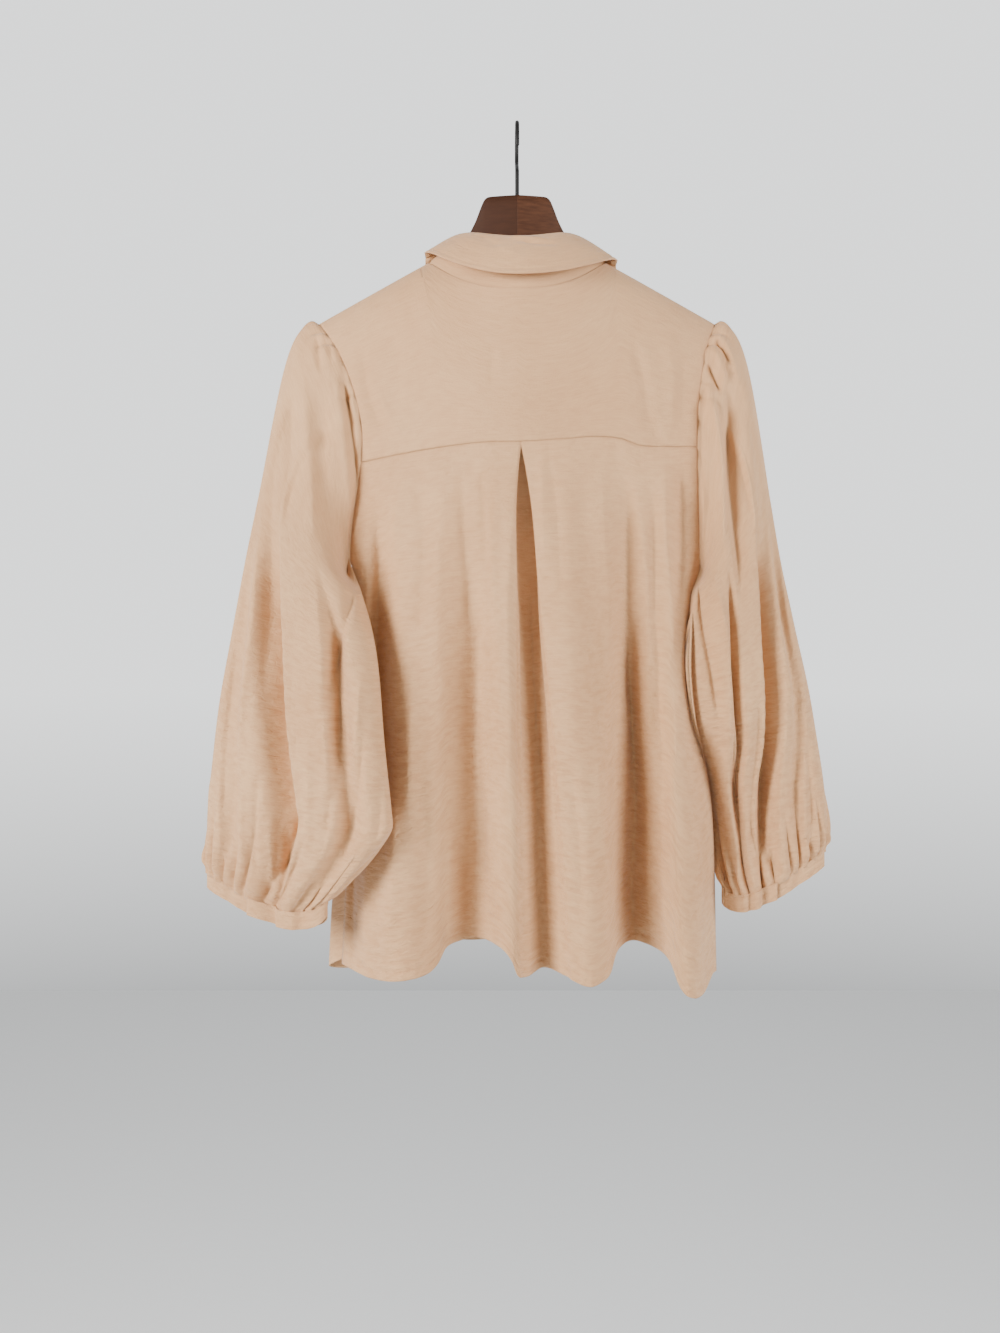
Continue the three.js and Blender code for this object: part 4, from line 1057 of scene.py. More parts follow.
LEFT_SLEEVE_BACK = table(
    CREASE,
    (-193, -202, -184, -236, 1, 3, 2, -5.0),
    (-187, -204, -177, -242, 1, 3, 2, 5.0),
    (-201, -204, -195, -250, 0, 3, 3, -4.0),
    (-180, -212, -170, -254, 2, 3, 3, -7.0),
    (-172, -240, -160, -410, 4, 5, 4, -14.0),
    (-178, -246, -163, -460, 7, 8, 3, 10.0),
    (-193, -262, -181, -430, -3, 10, 8, -4.0),
    (-209, -246, -200, -430, 0, 9, 6, 6.0),
    (-226, -262, -224, -420, 0, 9, 8, -5.0),
    (-236, -300, -244, -600, -4, 14, 8, -5.0),
    (-257, -400, -272, -660, 0, 7, 5, 4.2),
    (-157, -420, -189, -600, 7, 6, 3, -6.0),
    (-166, -500, -186, -732, 3, 5, 3, -4.2),
    (-146, -600, -170, -740, 4, 4, 3, -4.0),
    (-150, -540, -160, -660, 3, 5, 5, 3.6),
    (-196, -600, -203, -735, 0, 6, 5, 3.0),
    (-280, -500, -288, -700, 0, 8, 5, -4.0),
    (-250, -640, -254, -752, 0, 5, 3, -4.4),
    (-270, -660, -268, -756, 0, 4, 4, 3.4),
    (-240, -680, -238, -770, 0, 4, 3, 3.0),
    (-222, -690, -224, -775, 0, 3, 3, -3.2),
    (-128, -640, -136, -712, 2, 6, 5, -3.4),
    (-203, -676, -229, -762, -3, 4, 2.5, -6.0),
    (-292, -640, -294, -735, 0, 4, 4, 2.6),
)
LEFT_SLEEVE_FRONT = table(
    CREASE,
    (-222, -230, -206, -310, 4, 5, 4, -3.6),
    (-200, -225, -180, -330, 4, 5, 4, 3.6),
    (-180, -240, -166, -340, 3, 4, 4, -3.4),
    (-228, -320, -236, -600, 0, 10, 8, -5.0),
    (-188, -420, -200, -680, 3, 6, 8, 4.6),
    (-262, -430, -276, -690, 0, 6, 6, 4.0),
    (-160, -540, -180, -690, 0, 6, 5, -5.0),
    (-222, -600, -230, -740, 0, 6, 5, -3.6),
)
RIGHT_SLEEVE_BACK = table(
    CREASE,
    (198, -210, 213, -240, 2, 3, 2, -6.0),
    (194, -220, 208, -260, 2, 3, 2, 6.0),
    (189, -234, 203, -270, 1, 3, 3, -7.5),
    (204, -208, 220, -262, 2, 4, 4, 3.4),
    (190, -236, 181, -380, -4, 4, 4, -13.0),
    (188, -250, 205, -430, 3, 6, 3, 10.0),
    (207, -246, 215, -490, 2, 4, 9, -11.0),
    (228, -262, 238, -440, 0, 9, 8, 5.0),
    (182, -330, 186, -470, 0, 3, 4, 4.4),
    (178, -420, 196, -610, 0, 4, 4, -8.5),
    (193, -440, 216, -660, 0, 5, 4, 7.0),
    (204, -500, 222, -710, 0, 5, 4, -8.5),
    (240, -330, 256, -540, 0, 9, 12, -4.2),
    (262, -440, 282, -640, 0, 8, 9, 3.8),
    (268, -560, 276, -700, 0, 5, 7, -4.0),
    (288, -600, 292, -715, 0, 5, 4, -3.8),
    (232, -560, 236, -740, 0, 4, 5, -4.0),
    (222, -620, 222, -745, 0, 3, 3, 3.4),
    (248, -660, 252, -745, 0, 4, 4, 3.2),
    (280, -640, 286, -720, 0, 4, 4, 3.0),
    (252, -715, 266, -760, -1, 3, 2.5, -5.0),
)
RIGHT_SLEEVE_FRONT = table(
    CREASE,
    (206, -222, 220, -300, 3, 4, 4, -3.6),
    (190, -232, 200, -320, 2, 4, 4, 3.2),
    (228, -320, 244, -600, 0, 9, 9, -5.0),
    (200, -430, 212, -660, 3, 6, 7, 4.4),
    (262, -430, 284, -680, 0, 7, 6, 4.0),
    (216, -560, 226, -720, 0, 5, 5, -4.4),
    (250, -610, 256, -740, 0, 5, 5, -3.6),
)
left_sleeve_points = sleeve_grid(LEFT_SLEEVE, {1: LEFT_SLEEVE_BACK, -1: LEFT_SLEEVE_FRONT})
right_sleeve_points = sleeve_grid(RIGHT_SLEEVE, {1: RIGHT_SLEEVE_BACK, -1: RIGHT_SLEEVE_FRONT})
sleeve_left = cloth("blouse_sleeve_left", left_sleeve_points[:, ::-1], "sleeve_left", tube=True)
sleeve_right = cloth("blouse_sleeve_right", right_sleeve_points, "sleeve_right", tube=True)

# %% [markdown]
# Each cuff is a narrow stiff band. Its two ends lap over each other at the slit, with the
# buttonhole end outside, so the band is a line round the sleeve's end that starts below itself.

# %% The cuffs
CUFF_HIGH, CUFF_LAP, CUFF_BUTTON_THICK = 17, 16, 1.8


def cuff_grid(sleeve, rows=27, cols=230):
    """A band round the sleeve's last row, drawn in or let out near its ends for the lap."""
    lap = CUFF_LAP / 250
    t = np.linspace(0, 1, cols)[None]
    down = np.linspace(0, 1, rows)[:, None]
    around = mix(-lap / 2, 1 + lap / 2, t) + sleeve["slit"] / 2
    lift = (CRISP + LAYER) / 2 + (CUFF_BUTTON_THICK + LAYER) / 2
    over = lift * (ease(0, 0.5, t) * 2 - 1) * bump(np.minimum(t, 1 - t) / 0.22)
    groove = -0.35 * (bump((down - 0.1) / 0.07) + bump((down - 0.9) / 0.07))
    drawn = 0.22 * np.sin(around * 230 + 2 * np.sin(around * 37)) * np.abs(2 * down - 1)
    out = 0.6 - over + groove + drawn
    points = sleeve_point(sleeve, 1.0 + 0 * down * around, around + 0 * down, out)
    points[..., 2] -= 1.7 + CUFF_HIGH * down
    return points


left_cuff_points = cuff_grid(LEFT_SLEEVE)
right_cuff_points = cuff_grid(RIGHT_SLEEVE)
cuff_left = cloth("blouse_cuff_left", left_cuff_points[:, ::-1], "cuff_left", CRISP_WALL)
cuff_right = cloth("blouse_cuff_right", right_cuff_points, "cuff_right", CRISP_WALL)

# %% [markdown]
# The hanger is one bent piece of wood, or two arms glued at a mitre in the middle. Its section is
# a rounded box, and a few stations give its outline from the neck to the tips. A round thing such
# as the hook's wire or a thread is a tube: a ring of points carried along a line.

# %% The hanger and the hook
HANGER_MIDDLE_Y = -6.5
HANGER = table(
    "x top bottom half",
    (0, -72, -132, 8),
    (14, -72, -134.5, 7.8),
    (27, -72.2, -137, 7.6),
    (30, -72.9, -137.6, 7.5),
    (33, -75.6, -138.5, 7.4),
    (36, -82, -139.5, 7.2),
    (42, -97, -141, 6.8),
    (51, -112.5, -144, 6.4),
    (68, -130.5, -150, 6),
    (95, -145, -163, 5.8),
    (125, -158, -179, 5.6),
    (160, -175.5, -197, 5.4),
    (192, -191.5, -212, 5),
    (206, -199.5, -216, 4.6),
    (210, -203, -214.5, 3.4),
    (211, -206.5, -211, 1.6),
)
HOOK = dict(wire=2, bend=20, shank_top=-48, foot=-73)


def hanger_grid(cols=44):
    """Rings along x: a rounded box by powers of cos and sin, with a fine groove at the mitre."""
    half = np.concatenate([[0.2, 0.7], np.linspace(2, 24, 8), np.linspace(25, 52, 30)[:-1]])
    half = np.concatenate([half, np.linspace(52, 190, 34)[:-1], np.linspace(190, 211, 16)])
    x = np.concatenate([-half[::-1], [0], half])[:, None]
    a = 2 * np.pi * (np.arange(cols)[None] + 0.5) / cols
    top, bottom, thick = (through(HANGER, "x", np.abs(x), c) for c in ("top", "bottom", "half"))
    y = shoulder_y(x) + HANGER_MIDDLE_Y + 0.1 * np.minimum(np.abs(x), 60)
    size = 1 - 0.04 * (np.abs(x) < 0.1)
    across = size * thick * np.sign(np.cos(a)) * np.abs(np.cos(a)) ** 0.5
    high = (top - bottom) / 2 * np.sign(np.sin(a)) * np.abs(np.sin(a)) ** 0.36
    rings = np.stack([x + 0 * a, y + across, (top + bottom) / 2 + high], axis=-1)
    ends = [ring.mean(axis=0, keepdims=True) + 0 * ring for ring in (rings[0], rings[-1])]
    return np.concatenate([ends[:1], rings, ends[1:]], axis=0)


def hook_line(steps=150):
    """A straight shank, then three quarters of a circle; a smooth step joins the two."""
    shank = np.linspace(0, 1, 14)[:-1]
    zero = 0 * shank
    radius, start = HOOK["bend"] + HOOK["wire"], math.radians(-68)
    straight = np.stack([zero, zero + HANGER_MIDDLE_Y, mix(HOOK["foot"], HOOK["shank_top"], shank)], -1)
    u = np.linspace(0, 1, steps)
    a = mix(start, math.radians(205), u)
    join = 1 - ease(0, 0.16, u)
    y, z = radius * np.cos(a), -HOOK["bend"] + radius * np.sin(a)
    rising = HOOK["shank_top"] + (z + HOOK["bend"] - radius * math.sin(start))
    round_ = np.stack([0 * u, mix(y, HANGER_MIDDLE_Y, join), mix(z, rising, join)], -1)
    return np.concatenate([straight, round_])


def tubes(name, lines, radii, sides=4):
    """Tubes along many lines at once: lines is (tubes, stations, 3), and radii one for each
    station. The ring's first axis lies across x or, for a line along x, across y."""
    along = np.gradient(lines, axis=1)
    along = along / np.maximum(np.linalg.norm(along, axis=-1, keepdims=True), 1e-9)
    other = np.where(np.abs(along[..., :1]) > 0.9, [[[0.0, 1.0, 0.0]]], [[[1.0, 0.0, 0.0]]])
    first = np.cross(along, other)
    first = first / np.linalg.norm(first, axis=-1, keepdims=True)
    second = np.cross(along, first)
    a = 2 * np.pi * np.arange(sides) / sides
    radii = np.asarray(radii, float)[..., None, None]
    ring = np.cos(a)[:, None] * first[..., None, :] + np.sin(a)[:, None] * second[..., None, :]
    points = lines[..., None, :] + radii * ring
    count, stations = lines.shape[:2]
    k, i, j = np.meshgrid(np.arange(count), np.arange(stations - 1), np.arange(sides), indexing="ij")
    base, nxt = (k * stations + i) * sides, (j + 1) % sides
    faces = np.stack([base + j, base + nxt, base + sides + nxt, base + sides + j], -1).reshape(-1, 4)
    mesh = bpy.data.meshes.new(name)
    mesh.from_pydata((points * MM).reshape(-1, 3).tolist(), [], faces.tolist())
    mesh.polygons.foreach_set("use_smooth", np.ones(len(mesh.polygons), dtype=bool))
    mesh.update()
    obj = bpy.data.objects.new(name, mesh)
    bpy.context.scene.collection.objects.link(obj)
    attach(obj, "root")
    print(f"{name}: {len(lines)} tubes, {2 * len(faces)} triangles")
    return obj


hanger = mesh_of("wooden_hanger", hanger_grid(), tube=True)
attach(hanger, "root")
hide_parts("hanger")
wire_line = hook_line()
wire_radii = np.full(len(wire_line), float(HOOK["wire"]))
wire_radii[-4:] = (1.9, 1.6, 1.0, 0.02)
wire_line[-3:] = wire_line[-4] + (wire_line[-4] - wire_line[-5]) * np.array([[0.35], [0.6], [0.68]])
hook = tubes("wire_hook", wire_line[None], wire_radii, 24)
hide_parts("hook")

# %% [markdown]
# A shirt button is turned on a lathe: a rim, a slope down to a flat well, and four drilled holes,
# with two bars of thread. A lathe's surface is a profile carried round an axis. The holes are
# small round dips in the well.

# %% The buttons
BUTTON = dict(radius=5.5, thick=2, count=7, top=-262, step=82)
BUTTON_PROFILE = table(
    "at r high",
    (0, 0.01, 0.35),
    (1, 1.4, 0.35),
    (2, 2.6, 0.38),
    (3, 3.3, 0.72),
    (4, 4.1, 1.0),
    (5, 4.9, 0.9),
    (6, 5.4, 0.45),
    (7, 5.45, -0.2),
    (8, 5.1, -0.8),
    (9, 4.0, -1.0),
    (10, 0.01, -1.0),
)
HOLE_AT, HOLE_RADIUS, HOLE_DEEP = 0.95, 0.62, 1.1


def button_frame(z):
    """The middle of a button on the band at z, and its three axes: across, up and out."""
    y = band_y(np.array(float(CENTRE_X)), np.array(z)) + BAND_WALL / 2 + LAYER + BUTTON["thick"] / 2
    rise = band_y(np.array(float(CENTRE_X)), np.array([z + 10.0, z - 10.0]))
    out = np.array([0.0, 20.0, -(rise[0] - rise[1])])
    out = out / np.linalg.norm(out)
    across = np.array([1.0, 0, 0])
    return np.array([CENTRE_X, float(y), z]), across, np.cross(out, across), out


def button_grid(z, rows=50, cols=48):
    """The profile carried round, less four dips."""
    at = np.linspace(0, 10, rows)[:, None]
    a = 2 * np.pi * np.arange(cols)[None] / cols
    r, high = through(BUTTON_PROFILE, "at", at, "r"), through(BUTTON_PROFILE, "at", at, "high")
    u, v = r * np.cos(a), r * np.sin(a)
    for su, sv in ((1, 1), (1, -1), (-1, 1), (-1, -1)):
        near = np.hypot(u - su * HOLE_AT, v - sv * HOLE_AT)
        high = high - HOLE_DEEP * (1 - ease(HOLE_RADIUS * 0.7, HOLE_RADIUS * 1.15, near)) * (at < 2.5)
    middle, across, up, out = button_frame(z)
    return middle + u[..., None] * across + v[..., None] * up + high[..., None] * out


def bars(z):
    """Two bars of thread on a button, each an arch from hole to hole."""
    middle, across, up, out = button_frame(z)
    t = np.linspace(-1, 1, 7)[:, None]
    arch = (0.75 - 0.9 * t**4)
    return [middle + across * t * HOLE_AT + up * v * HOLE_AT + out * arch for v in (-1, -0.75, 0.75, 1)]


buttons, thread_bars = [], []
for number in range(BUTTON["count"]):
    level = BUTTON["top"] - number * BUTTON["step"]
    made = mesh_of(f"shirt_button_{number + 1}", button_grid(level), tube=True)
    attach(made, "root")
    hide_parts(f"button_{number + 1}")
    buttons.append(made)
    thread_bars += bars(level)
print(len(buttons), "buttons of", 2 * 49 * 48, "triangles each")

# %% [markdown]
# Sewing machines leave a row of short stitches, each a bit of thread that dives into the cloth at
# both ends. The rows follow lines on the finished surfaces: a line is found where a level, such
# as the height above the hem, passes a value between two rows of the grid. A buttonhole is a
# narrow oval of close thread round a slit.

# %% The stitches and the buttonholes
STITCH = dict(pitch=3.1, long=2.2, radius=0.26)


def line_on(grid, level, value, tube=False):
    """Points on a grid, and its normals there, where the level passes the value down each
    column: a straight mix of the two rows around it."""
    past = level >= value
    i = np.argmax(past[:-1] != past[1:], axis=0)
    j = np.arange(grid.shape[1])
    t = ((value - level[i, j]) / (level[i + 1, j] - level[i, j]))[:, None]
    n = normals(grid, tube)
    return mix(grid[i, j], grid[i + 1, j], t), mix(n[i, j], n[i + 1, j], t)


def stitches(line, out, lift=0.42):
    """Short arches along a line, as (stitches, 3 stations, 3)."""
    steps = np.linalg.norm(np.diff(line, axis=0), axis=1)
    s = np.concatenate([[0], np.cumsum(steps)])
    starts = np.arange(1, int(s[-1] / STITCH["pitch"]) - 1) * STITCH["pitch"]
    at = starts[:, None] + STITCH["long"] * np.array([0, 0.5, 1])
    point = np.stack([np.interp(at, s, line[:, k]) for k in range(3)], -1)
    away = np.stack([np.interp(at, s, out[:, k]) for k in range(3)], -1)
    return point + away * (np.array([lift - 0.25, lift + 0.12, lift - 0.25])[:, None])


def facing(normal, way):
    """The normals, turned over where they don't point the given way on the whole."""
    return normal * np.sign((normal * np.asarray(way, float)).sum())


def buttonhole(middle, along, across, out, half=6.5, wide=1.1):
    """A closed oval line of 40 stations, straight at the sides and round at the ends."""
    a = np.linspace(0, 2 * np.pi, 41)
    u = half * np.sign(np.cos(a)) * np.abs(np.cos(a)) ** 0.5
    v = wide * np.sin(a)
    return middle + u[:, None] * along + v[:, None] * across + out * 0.75


rows_of_stitches = []
back_x, back_z = back_points[..., 0], back_points[..., 2]
line, out = line_on(back_points, back_z - back_hem_z(back_x), HEM_STITCH)
for part in (slice(1, 86), slice(156, back_points.shape[1] - 1)):
    rows_of_stitches.append(stitches(line[part], facing(out[part], (0, -1, 0))))
for points in (front_left_points, front_right_points):
    line, out = line_on(points, points[..., 2] - front_hem_z(points[..., 0]), HEM_STITCH)
    rows_of_stitches.append(stitches(line[1:-1], facing(out[1:-1], (0, 1, 0))))
for column in (2, -3):
    out = facing(normals(band_points)[1:-1, column], (0, 1, 0))
    rows_of_stitches.append(stitches(band_points[1:-1, column], out, 0.5))
leaf_normals = normals(collar_points)
row = 43
rows_of_stitches.append(stitches(collar_points[row, 2:-2], -leaf_normals[row, 2:-2], 0.65))
for points in (left_cuff_points, right_cuff_points):
    middle = points.mean(axis=(0, 1))
    for row in (3, 23):
        away = points[row] - middle
        away = away * np.array([1, 1, 0])
        away = away / np.linalg.norm(away, axis=-1, keepdims=True)
        rows_of_stitches.append(stitches(points[row], away, 0.65))
all_stitches = np.concatenate(rows_of_stitches)
stitching = tubes("hem_and_edge_stitches", all_stitches, STITCH["radius"] * np.array([0.5, 1, 0.5]))
thread = tubes("button_threads", np.stack(thread_bars), np.full(7, 0.2), 6)

holes = []
for number in range(BUTTON["count"]):
    middle, across, up, out = button_frame(BUTTON["top"] - number * BUTTON["step"])
    holes.append(buttonhole(middle - out * 2.2, up, across, out, 7.2))
ends = (left_cuff_points, 14, -0.04), (right_cuff_points, 14, -0.04)
for points, row, share in ends:
    at = len(points[0]) - 1 + int(share * len(points[0]))
    middle = points[row, at]
    along = points[row, at + 3] - points[row, at - 3]
    along = along / np.linalg.norm(along)
    up = np.array([0, 0, 1.0])
    out = np.cross(along, up)
    out = out / np.linalg.norm(out) * np.sign(np.dot(np.cross(along, up), middle - points.mean(axis=(0, 1))))
    holes.append(buttonhole(middle, along, up, out, 5.5))
buttonholes = tubes("buttonholes", np.stack(holes), np.full(41, 0.42), 6)

# %% [markdown]
# The materials come next. A material is a tree of nodes, and its maths reads best as plain
# expressions, so one small class wraps an output socket: adding two of them adds a Math node.

# %% A socket that can be used in a sum
class Socket:
    """An output of a node. Sums on it add Math nodes, and node() adds any other node."""

    def __init__(self, tree, socket=None):
        self.tree, self.socket = tree, socket

    def node(self, kind, settings=None, sockets=None, output=0):
        """A node of this kind: its settings are set first, then the values or links of its
        sockets, by name or number. It gives back one output."""
        made = self.tree.nodes.new(kind)
        for name, value in (settings or {}).items():
            setattr(made, name, value)
        for name, value in (sockets or {}).items():
            if isinstance(value, Socket):
                self.tree.links.new(value.socket, made.inputs[name])
            else:
                made.inputs[name].default_value = value
        return Socket(self.tree, made.outputs[output])

    def maths(self, operation, a, b=0.0, c=0.0):
        values = {0: a, 1: b, 2: c} if operation in ("MULTIPLY_ADD", "COMPARE") else {0: a, 1: b}
        return self.node("ShaderNodeMath", {"operation": operation}, values)

    def __add__(self, other):
        return self.maths("ADD", self, other)

    def __sub__(self, other):
        return self.maths("SUBTRACT", self, other)

    def __rsub__(self, other):
        return self.maths("SUBTRACT", other, self)

    def __mul__(self, other):
        return self.maths("MULTIPLY", self, other)

    def __truediv__(self, other):
        return self.maths("DIVIDE", self, other)

    def __pow__(self, other):
        return self.maths("POWER", self, other)

    __radd__, __rmul__ = __add__, __mul__

    def sine(self):
        return self.maths("SINE", self)

    def between(self, low, high):
        """0 below low, 1 above high, and straight between."""
        settings = {"clamp": True}
        return self.node("ShaderNodeMapRange", settings, {0: self, 1: low, 2: high, 3: 0.0, 4: 1.0})

    def blend(self, a, b):
        """The colour a where this is 0 and b where it is 1."""
        settings = {"data_type": "RGBA", "clamp_factor": True}
        return self.node("ShaderNodeMix", settings, {0: self, 6: a, 7: b}, 2)


def finish(name):
    """An empty material with its Principled shader, and a socket to start expressions from."""
    material = bpy.data.materials.new(name)
    material.use_nodes = True
    tree = material.node_tree
    shader = tree.nodes["Principled BSDF"]
    return material, tree, shader, Socket(tree)


def colour(*srgb):
    """An sRGB colour of 0 to 255 as the linear colour that a shader takes."""
    c = np.array(srgb) / 255
    return (*np.where(c <= 0.04045, c / 12.92, ((c + 0.055) / 1.055) ** 2.4), 1.0)


# %% [markdown]
# The cloth is a peach viscose with a soft sheen. Its weft has thicker and thinner yarns, which
# show as fine streaks across each piece, and it carries many small crinkles that also run across.
# Both are drawn on the UV map in metres, so they follow the threads. The weave itself is finer
# than a pixel here, but it is there for close views.

# %% The cloth
def make_cloth(name, light, deep):
    """Base colour mixes two tones by slow patches, weft streaks and painted shade that darkens the
    crinkles' hollows and lightens their crests; the bump adds crinkles, streaks and the weave."""
    material, tree, shader, s = finish(name)
    uv = s.node("ShaderNodeUVMap", {"uv_map": "cloth_lengths"})

    def stretched(across, along):
        return s.node("ShaderNodeMapping", {}, {0: uv, 3: (across, along, 1.0)})

    def noise(vector, scale, detail=2.0, rough=0.5):
        sockets = {"Vector": vector, "Scale": scale, "Detail": detail, "Roughness": rough}
        return s.node("ShaderNodeTexNoise", {"noise_dimensions": "2D"}, sockets)

    place = s.node("ShaderNodeTexCoord", {}, {}, "Object")
    height_of = Socket(tree, s.node("ShaderNodeSeparateXYZ", {}, {0: place}).socket.node.outputs[2])
    lower = height_of.between(-0.28, -0.6) * 0.65 + 0.35
    crinkle_and_shade = noise(stretched(0.36, 1.0), 190.0, 3.0, 0.6)
    crumple = noise(stretched(0.5, 1.0), 95.0, 2.0, 0.5)
    grooves = 1.0 - s.maths("ABSOLUTE", crumple - 0.5).between(0.0, 0.07)
    grooves = grooves * noise(uv, 55.0, 2.0).between(0.48, 0.6)
    broad = noise(stretched(0.4, 1.0), 80.0, 3.0, 0.55)
    weft = noise(stretched(0.04, 1.0), 900.0, 2.0, 0.6)
    warp = noise(stretched(1.0, 0.05), 700.0, 1.0, 0.5)
    patches = noise(uv, 9.0, 2.0)
    separate = s.node("ShaderNodeSeparateXYZ", {}, {0: uv})
    across = Socket(tree, separate.socket.node.outputs[0])
    along = Socket(tree, separate.socket.node.outputs[1])
    threads = (across * 12000.0).sine() * (along * 12000.0).sine()
    tone = patches.between(0.3, 0.7) * 0.3 + weft.between(0.3, 0.7) * 0.3
    # Painted shade: the crinkle noise makes the base colour darker in its hollows and lighter on its crests, more so
    # lower down.
    tone = tone + (crinkle_and_shade.between(0.35, 0.6) * lower + (1.0 - lower) * 0.7) * 0.4
    tree.links.new(tone.blend(deep, light).socket, shader.inputs["Base Color"])
    height = (crinkle_and_shade * 0.6 + broad * 0.6 - grooves * 0.14) * lower + weft * 0.07 + warp * 0.05 + threads * 0.02
    sockets = {"Strength": 0.9, "Distance": 0.0034, "Height": height}
    relief = s.node("ShaderNodeBump", {}, sockets)
    tree.links.new(relief.socket, shader.inputs["Normal"])
    rough = 0.58 + weft * 0.16
    tree.links.new(rough.socket, shader.inputs["Roughness"])
    shader.inputs["Sheen Weight"].default_value = 0.25
    shader.inputs["Sheen Roughness"].default_value = 0.35
    shader.inputs["Specular IOR Level"].default_value = 0.4
    return material


peach_cloth = make_cloth("peach_cloth", colour(213, 168, 122), colour(192, 142, 97))
cloth_pieces = [
    back, yoke, front_left, front_right, button_band, collar_stand, collar,
    sleeve_left, sleeve_right, cuff_left, cuff_right,
]
for piece in cloth_pieces:
    piece.data.materials.append(peach_cloth)

# %% [markdown]
# The hanger is solid wood with a brown stain. Grain is long streaks along each arm, with fine
# pores, and the right arm is drawn lighter than the left. The hook is black lacquered steel.

# %% Wood, wire and button
def make_wood():
    """Streaks of noise drawn out along x, over a slower figure, between two browns."""
    material, tree, shader, s = finish("stained_wood")
    place = s.node("ShaderNodeTexCoord", {}, {}, "Object")
    long = s.node("ShaderNodeMapping", {}, {0: place, 3: (0.06, 1.0, 1.0)})
    streaks = s.node("ShaderNodeTexNoise", {}, {"Vector": long, "Scale": 420.0, "Detail": 4.0})
    figure = s.node("ShaderNodeTexNoise", {}, {"Vector": long, "Scale": 70.0, "Detail": 2.0})
    apart = s.node("ShaderNodeSeparateXYZ", {}, {0: place})
    right_arm = apart.between(-0.0003, 0.0003)
    tone = streaks.between(0.3, 0.75) * 0.55 + figure.between(0.3, 0.7) * 0.45
    tone = tone * (right_arm * 0.65 + 0.25)
    blend = tone.blend(colour(50, 27, 15), colour(88, 54, 35))
    tree.links.new(blend.socket, shader.inputs["Base Color"])
    relief = s.node("ShaderNodeBump", {}, {"Strength": 0.2, "Distance": 0.0004, "Height": streaks})
    tree.links.new(relief.socket, shader.inputs["Normal"])
    rough = 0.5 + streaks * 0.2
    tree.links.new(rough.socket, shader.inputs["Roughness"])
    shader.inputs["Specular IOR Level"].default_value = 0.18
    return material


def make_wire():
    """Black lacquer with a slight unevenness."""
    material, tree, shader, s = finish("black_wire")
    place = s.node("ShaderNodeTexCoord", {}, {}, "Object")
    patches = s.node("ShaderNodeTexNoise", {}, {"Vector": place, "Scale": 160.0, "Detail": 3.0})
    blend = patches.blend(colour(16, 15, 15), colour(30, 29, 28))
    tree.links.new(blend.socket, shader.inputs["Base Color"])
    tree.links.new((0.45 + patches * 0.2).socket, shader.inputs["Roughness"])
    shader.inputs["Specular IOR Level"].default_value = 0.25
    return material


def make_shell():
    """A pale pearly button: soft clouds between two creams."""
    material, tree, shader, s = finish("pearly_button")
    place = s.node("ShaderNodeTexCoord", {}, {}, "Object")
    clouds = s.node("ShaderNodeTexNoise", {}, {"Vector": place, "Scale": 260.0, "Detail": 3.0})
    blend = clouds.between(0.35, 0.65).blend(colour(226, 205, 182), colour(240, 228, 212))
    tree.links.new(blend.socket, shader.inputs["Base Color"])
    tree.links.new((0.18 + clouds * 0.15).socket, shader.inputs["Roughness"])
    shader.inputs["Coat Weight"].default_value = 0.5
    return material


def make_thread():
    """Thread of the cloth's colour, a little lighter, with a fine uneven tone."""
    material, tree, shader, s = finish("peach_thread")
    place = s.node("ShaderNodeTexCoord", {}, {}, "Object")
    uneven = s.node("ShaderNodeTexNoise", {}, {"Vector": place, "Scale": 900.0, "Detail": 2.0})
    blend = uneven.between(0.3, 0.7).blend(colour(196, 140, 98), colour(222, 176, 136))
    tree.links.new(blend.socket, shader.inputs["Base Color"])
    tree.links.new((0.45 + uneven * 0.2).socket, shader.inputs["Roughness"])
    return material


stained_wood, black_wire, pearly_button = make_wood(), make_wire(), make_shell()
peach_thread = make_thread()
for piece, material in (
    (hanger, stained_wood), (hook, black_wire), (stitching, peach_thread),
    (thread, peach_thread), (buttonholes, peach_thread), *((b, pearly_button) for b in buttons),
):
    piece.data.materials.append(material)

# %% [markdown]
# The area of cloth in each sheet is worked out from its grid and printed.

# %% The cuts
def area_of(grid, tube=False):
    """Half the cross product of each cell's diagonals, added up, in square metres."""
    ring = np.concatenate([grid, grid[:, :1]], axis=1) if tube else grid
    a, b = ring[1:, 1:] - ring[:-1, :-1], ring[:-1, 1:] - ring[1:, :-1]
    return float(np.linalg.norm(np.cross(a, b), axis=-1).sum() / 2) * 1e-6


for piece, grid in (
    ("back", back_points), ("yoke", yoke_points), ("front_left", front_left_points),
    ("front_right", front_right_points), ("band", band_points), ("stand", stand_points),
    ("collar", collar_points), ("cuff", left_cuff_points),
):
    print(f"area of {piece}: {area_of(grid):.4f} square metres")
print("area of the sleeves:", area_of(left_sleeve_points, True), area_of(right_sleeve_points, True))

# %% [markdown]
# The stage is plain: a pale floor far below, a pale surround, one large soft light from the upper
# left on the back's side, and a weak one from the right. The camera stands where the picture was
# taken: level, at the height of the blouse's middle.

# %% Floor, light and camera
def stage_floor():
    """A large pale plane below the blouse."""
    bpy.ops.mesh.primitive_plane_add(size=8, location=(0, 0, -1.9))
    floor = bpy.context.object
    floor.name = "studio_floor"
    material, tree, shader, s = finish("pale_floor")
    place = s.node("ShaderNodeTexCoord", {}, {}, "Object")
    grain = s.node("ShaderNodeTexNoise", {}, {"Vector": place, "Scale": 30.0, "Detail": 2.0})
    blend = grain.blend(colour(246, 247, 248), colour(249, 250, 250))
    tree.links.new(blend.socket, shader.inputs["Base Color"])
    shader.inputs["Roughness"].default_value = 0.8
    floor.data.materials.append(material)


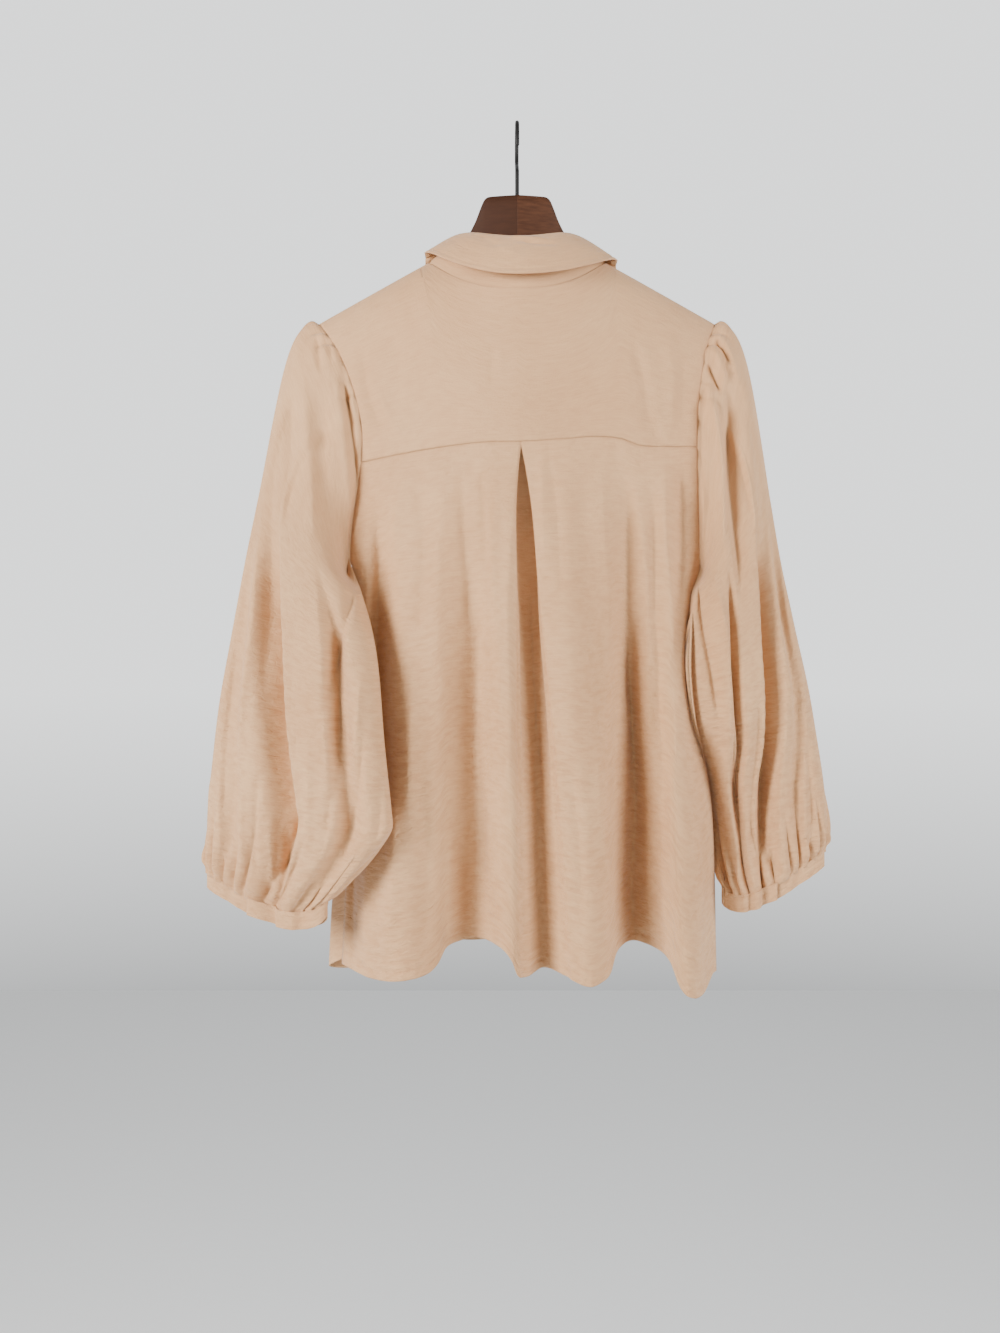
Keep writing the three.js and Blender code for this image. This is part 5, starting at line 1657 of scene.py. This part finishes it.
def area_light(name, place, target, size, power, tint=(1, 1, 1)):
    """A square soft light at a place, turned to a target."""
    data = bpy.data.lights.new(name, "AREA")
    data.size, data.energy, data.color = size, power, tint
    lamp = bpy.data.objects.new(name, data)
    bpy.context.scene.collection.objects.link(lamp)
    lamp.location = place
    aim = np.array(target) - np.array(place)
    lamp.rotation_euler = Vector(aim).to_track_quat("-Z", "Y").to_euler()


stage_floor()
area_light("key_light", (-1.75, -1.25, -0.1), (0, 0, -0.5), 0.9, 98, (1, 0.985, 0.96))
area_light("fill_light", (1.8, -1.2, -0.1), (0, 0, -0.5), 1.0, 64, (0.98, 0.99, 1))
world = bpy.data.worlds.new("pale_surround")
bpy.context.scene.world = world
world.use_nodes = True
background = world.node_tree.nodes["Background"]
sky = Socket(world.node_tree)
direction = sky.node("ShaderNodeTexCoord", {}, {}, "Generated")
apart = sky.node("ShaderNodeSeparateXYZ", {}, {0: direction}).socket.node
ahead, rise = Socket(sky.tree, apart.outputs[1]), Socket(sky.tree, apart.outputs[2])
wide = ahead.between(-0.2, 0.7).blend((0.5, 0.5, 0.5, 1), (1.64, 1.67, 1.68, 1))
low = rise.between(-0.27, -0.02).blend((0.33, 0.33, 0.333, 1), (1, 1, 1, 1))
high = rise.between(0.5, 0.85).blend((1, 1, 1, 1), (0.35, 0.35, 0.35, 1))
times = {"data_type": "RGBA", "blend_type": "MULTIPLY"}
pale = sky.node("ShaderNodeMix", times, {0: 1.0, 6: wide, 7: low}, 2)
pale = sky.node("ShaderNodeMix", times, {0: 1.0, 6: pale, 7: high}, 2)
world.node_tree.links.new(pale.socket, background.inputs["Color"])

camera_data = bpy.data.cameras.new("picture_camera")
camera = bpy.data.objects.new("picture_camera", camera_data)
bpy.context.scene.collection.objects.link(camera)
camera.location = (-0.017, -1.25, -0.54)
camera.rotation_euler = (math.radians(90), 0, 0)
camera_data.sensor_fit = "HORIZONTAL"
camera_data.sensor_width, camera_data.lens = 36, 45
camera_data.clip_start, camera_data.clip_end = 0.05, 50
bpy.context.scene.camera = camera
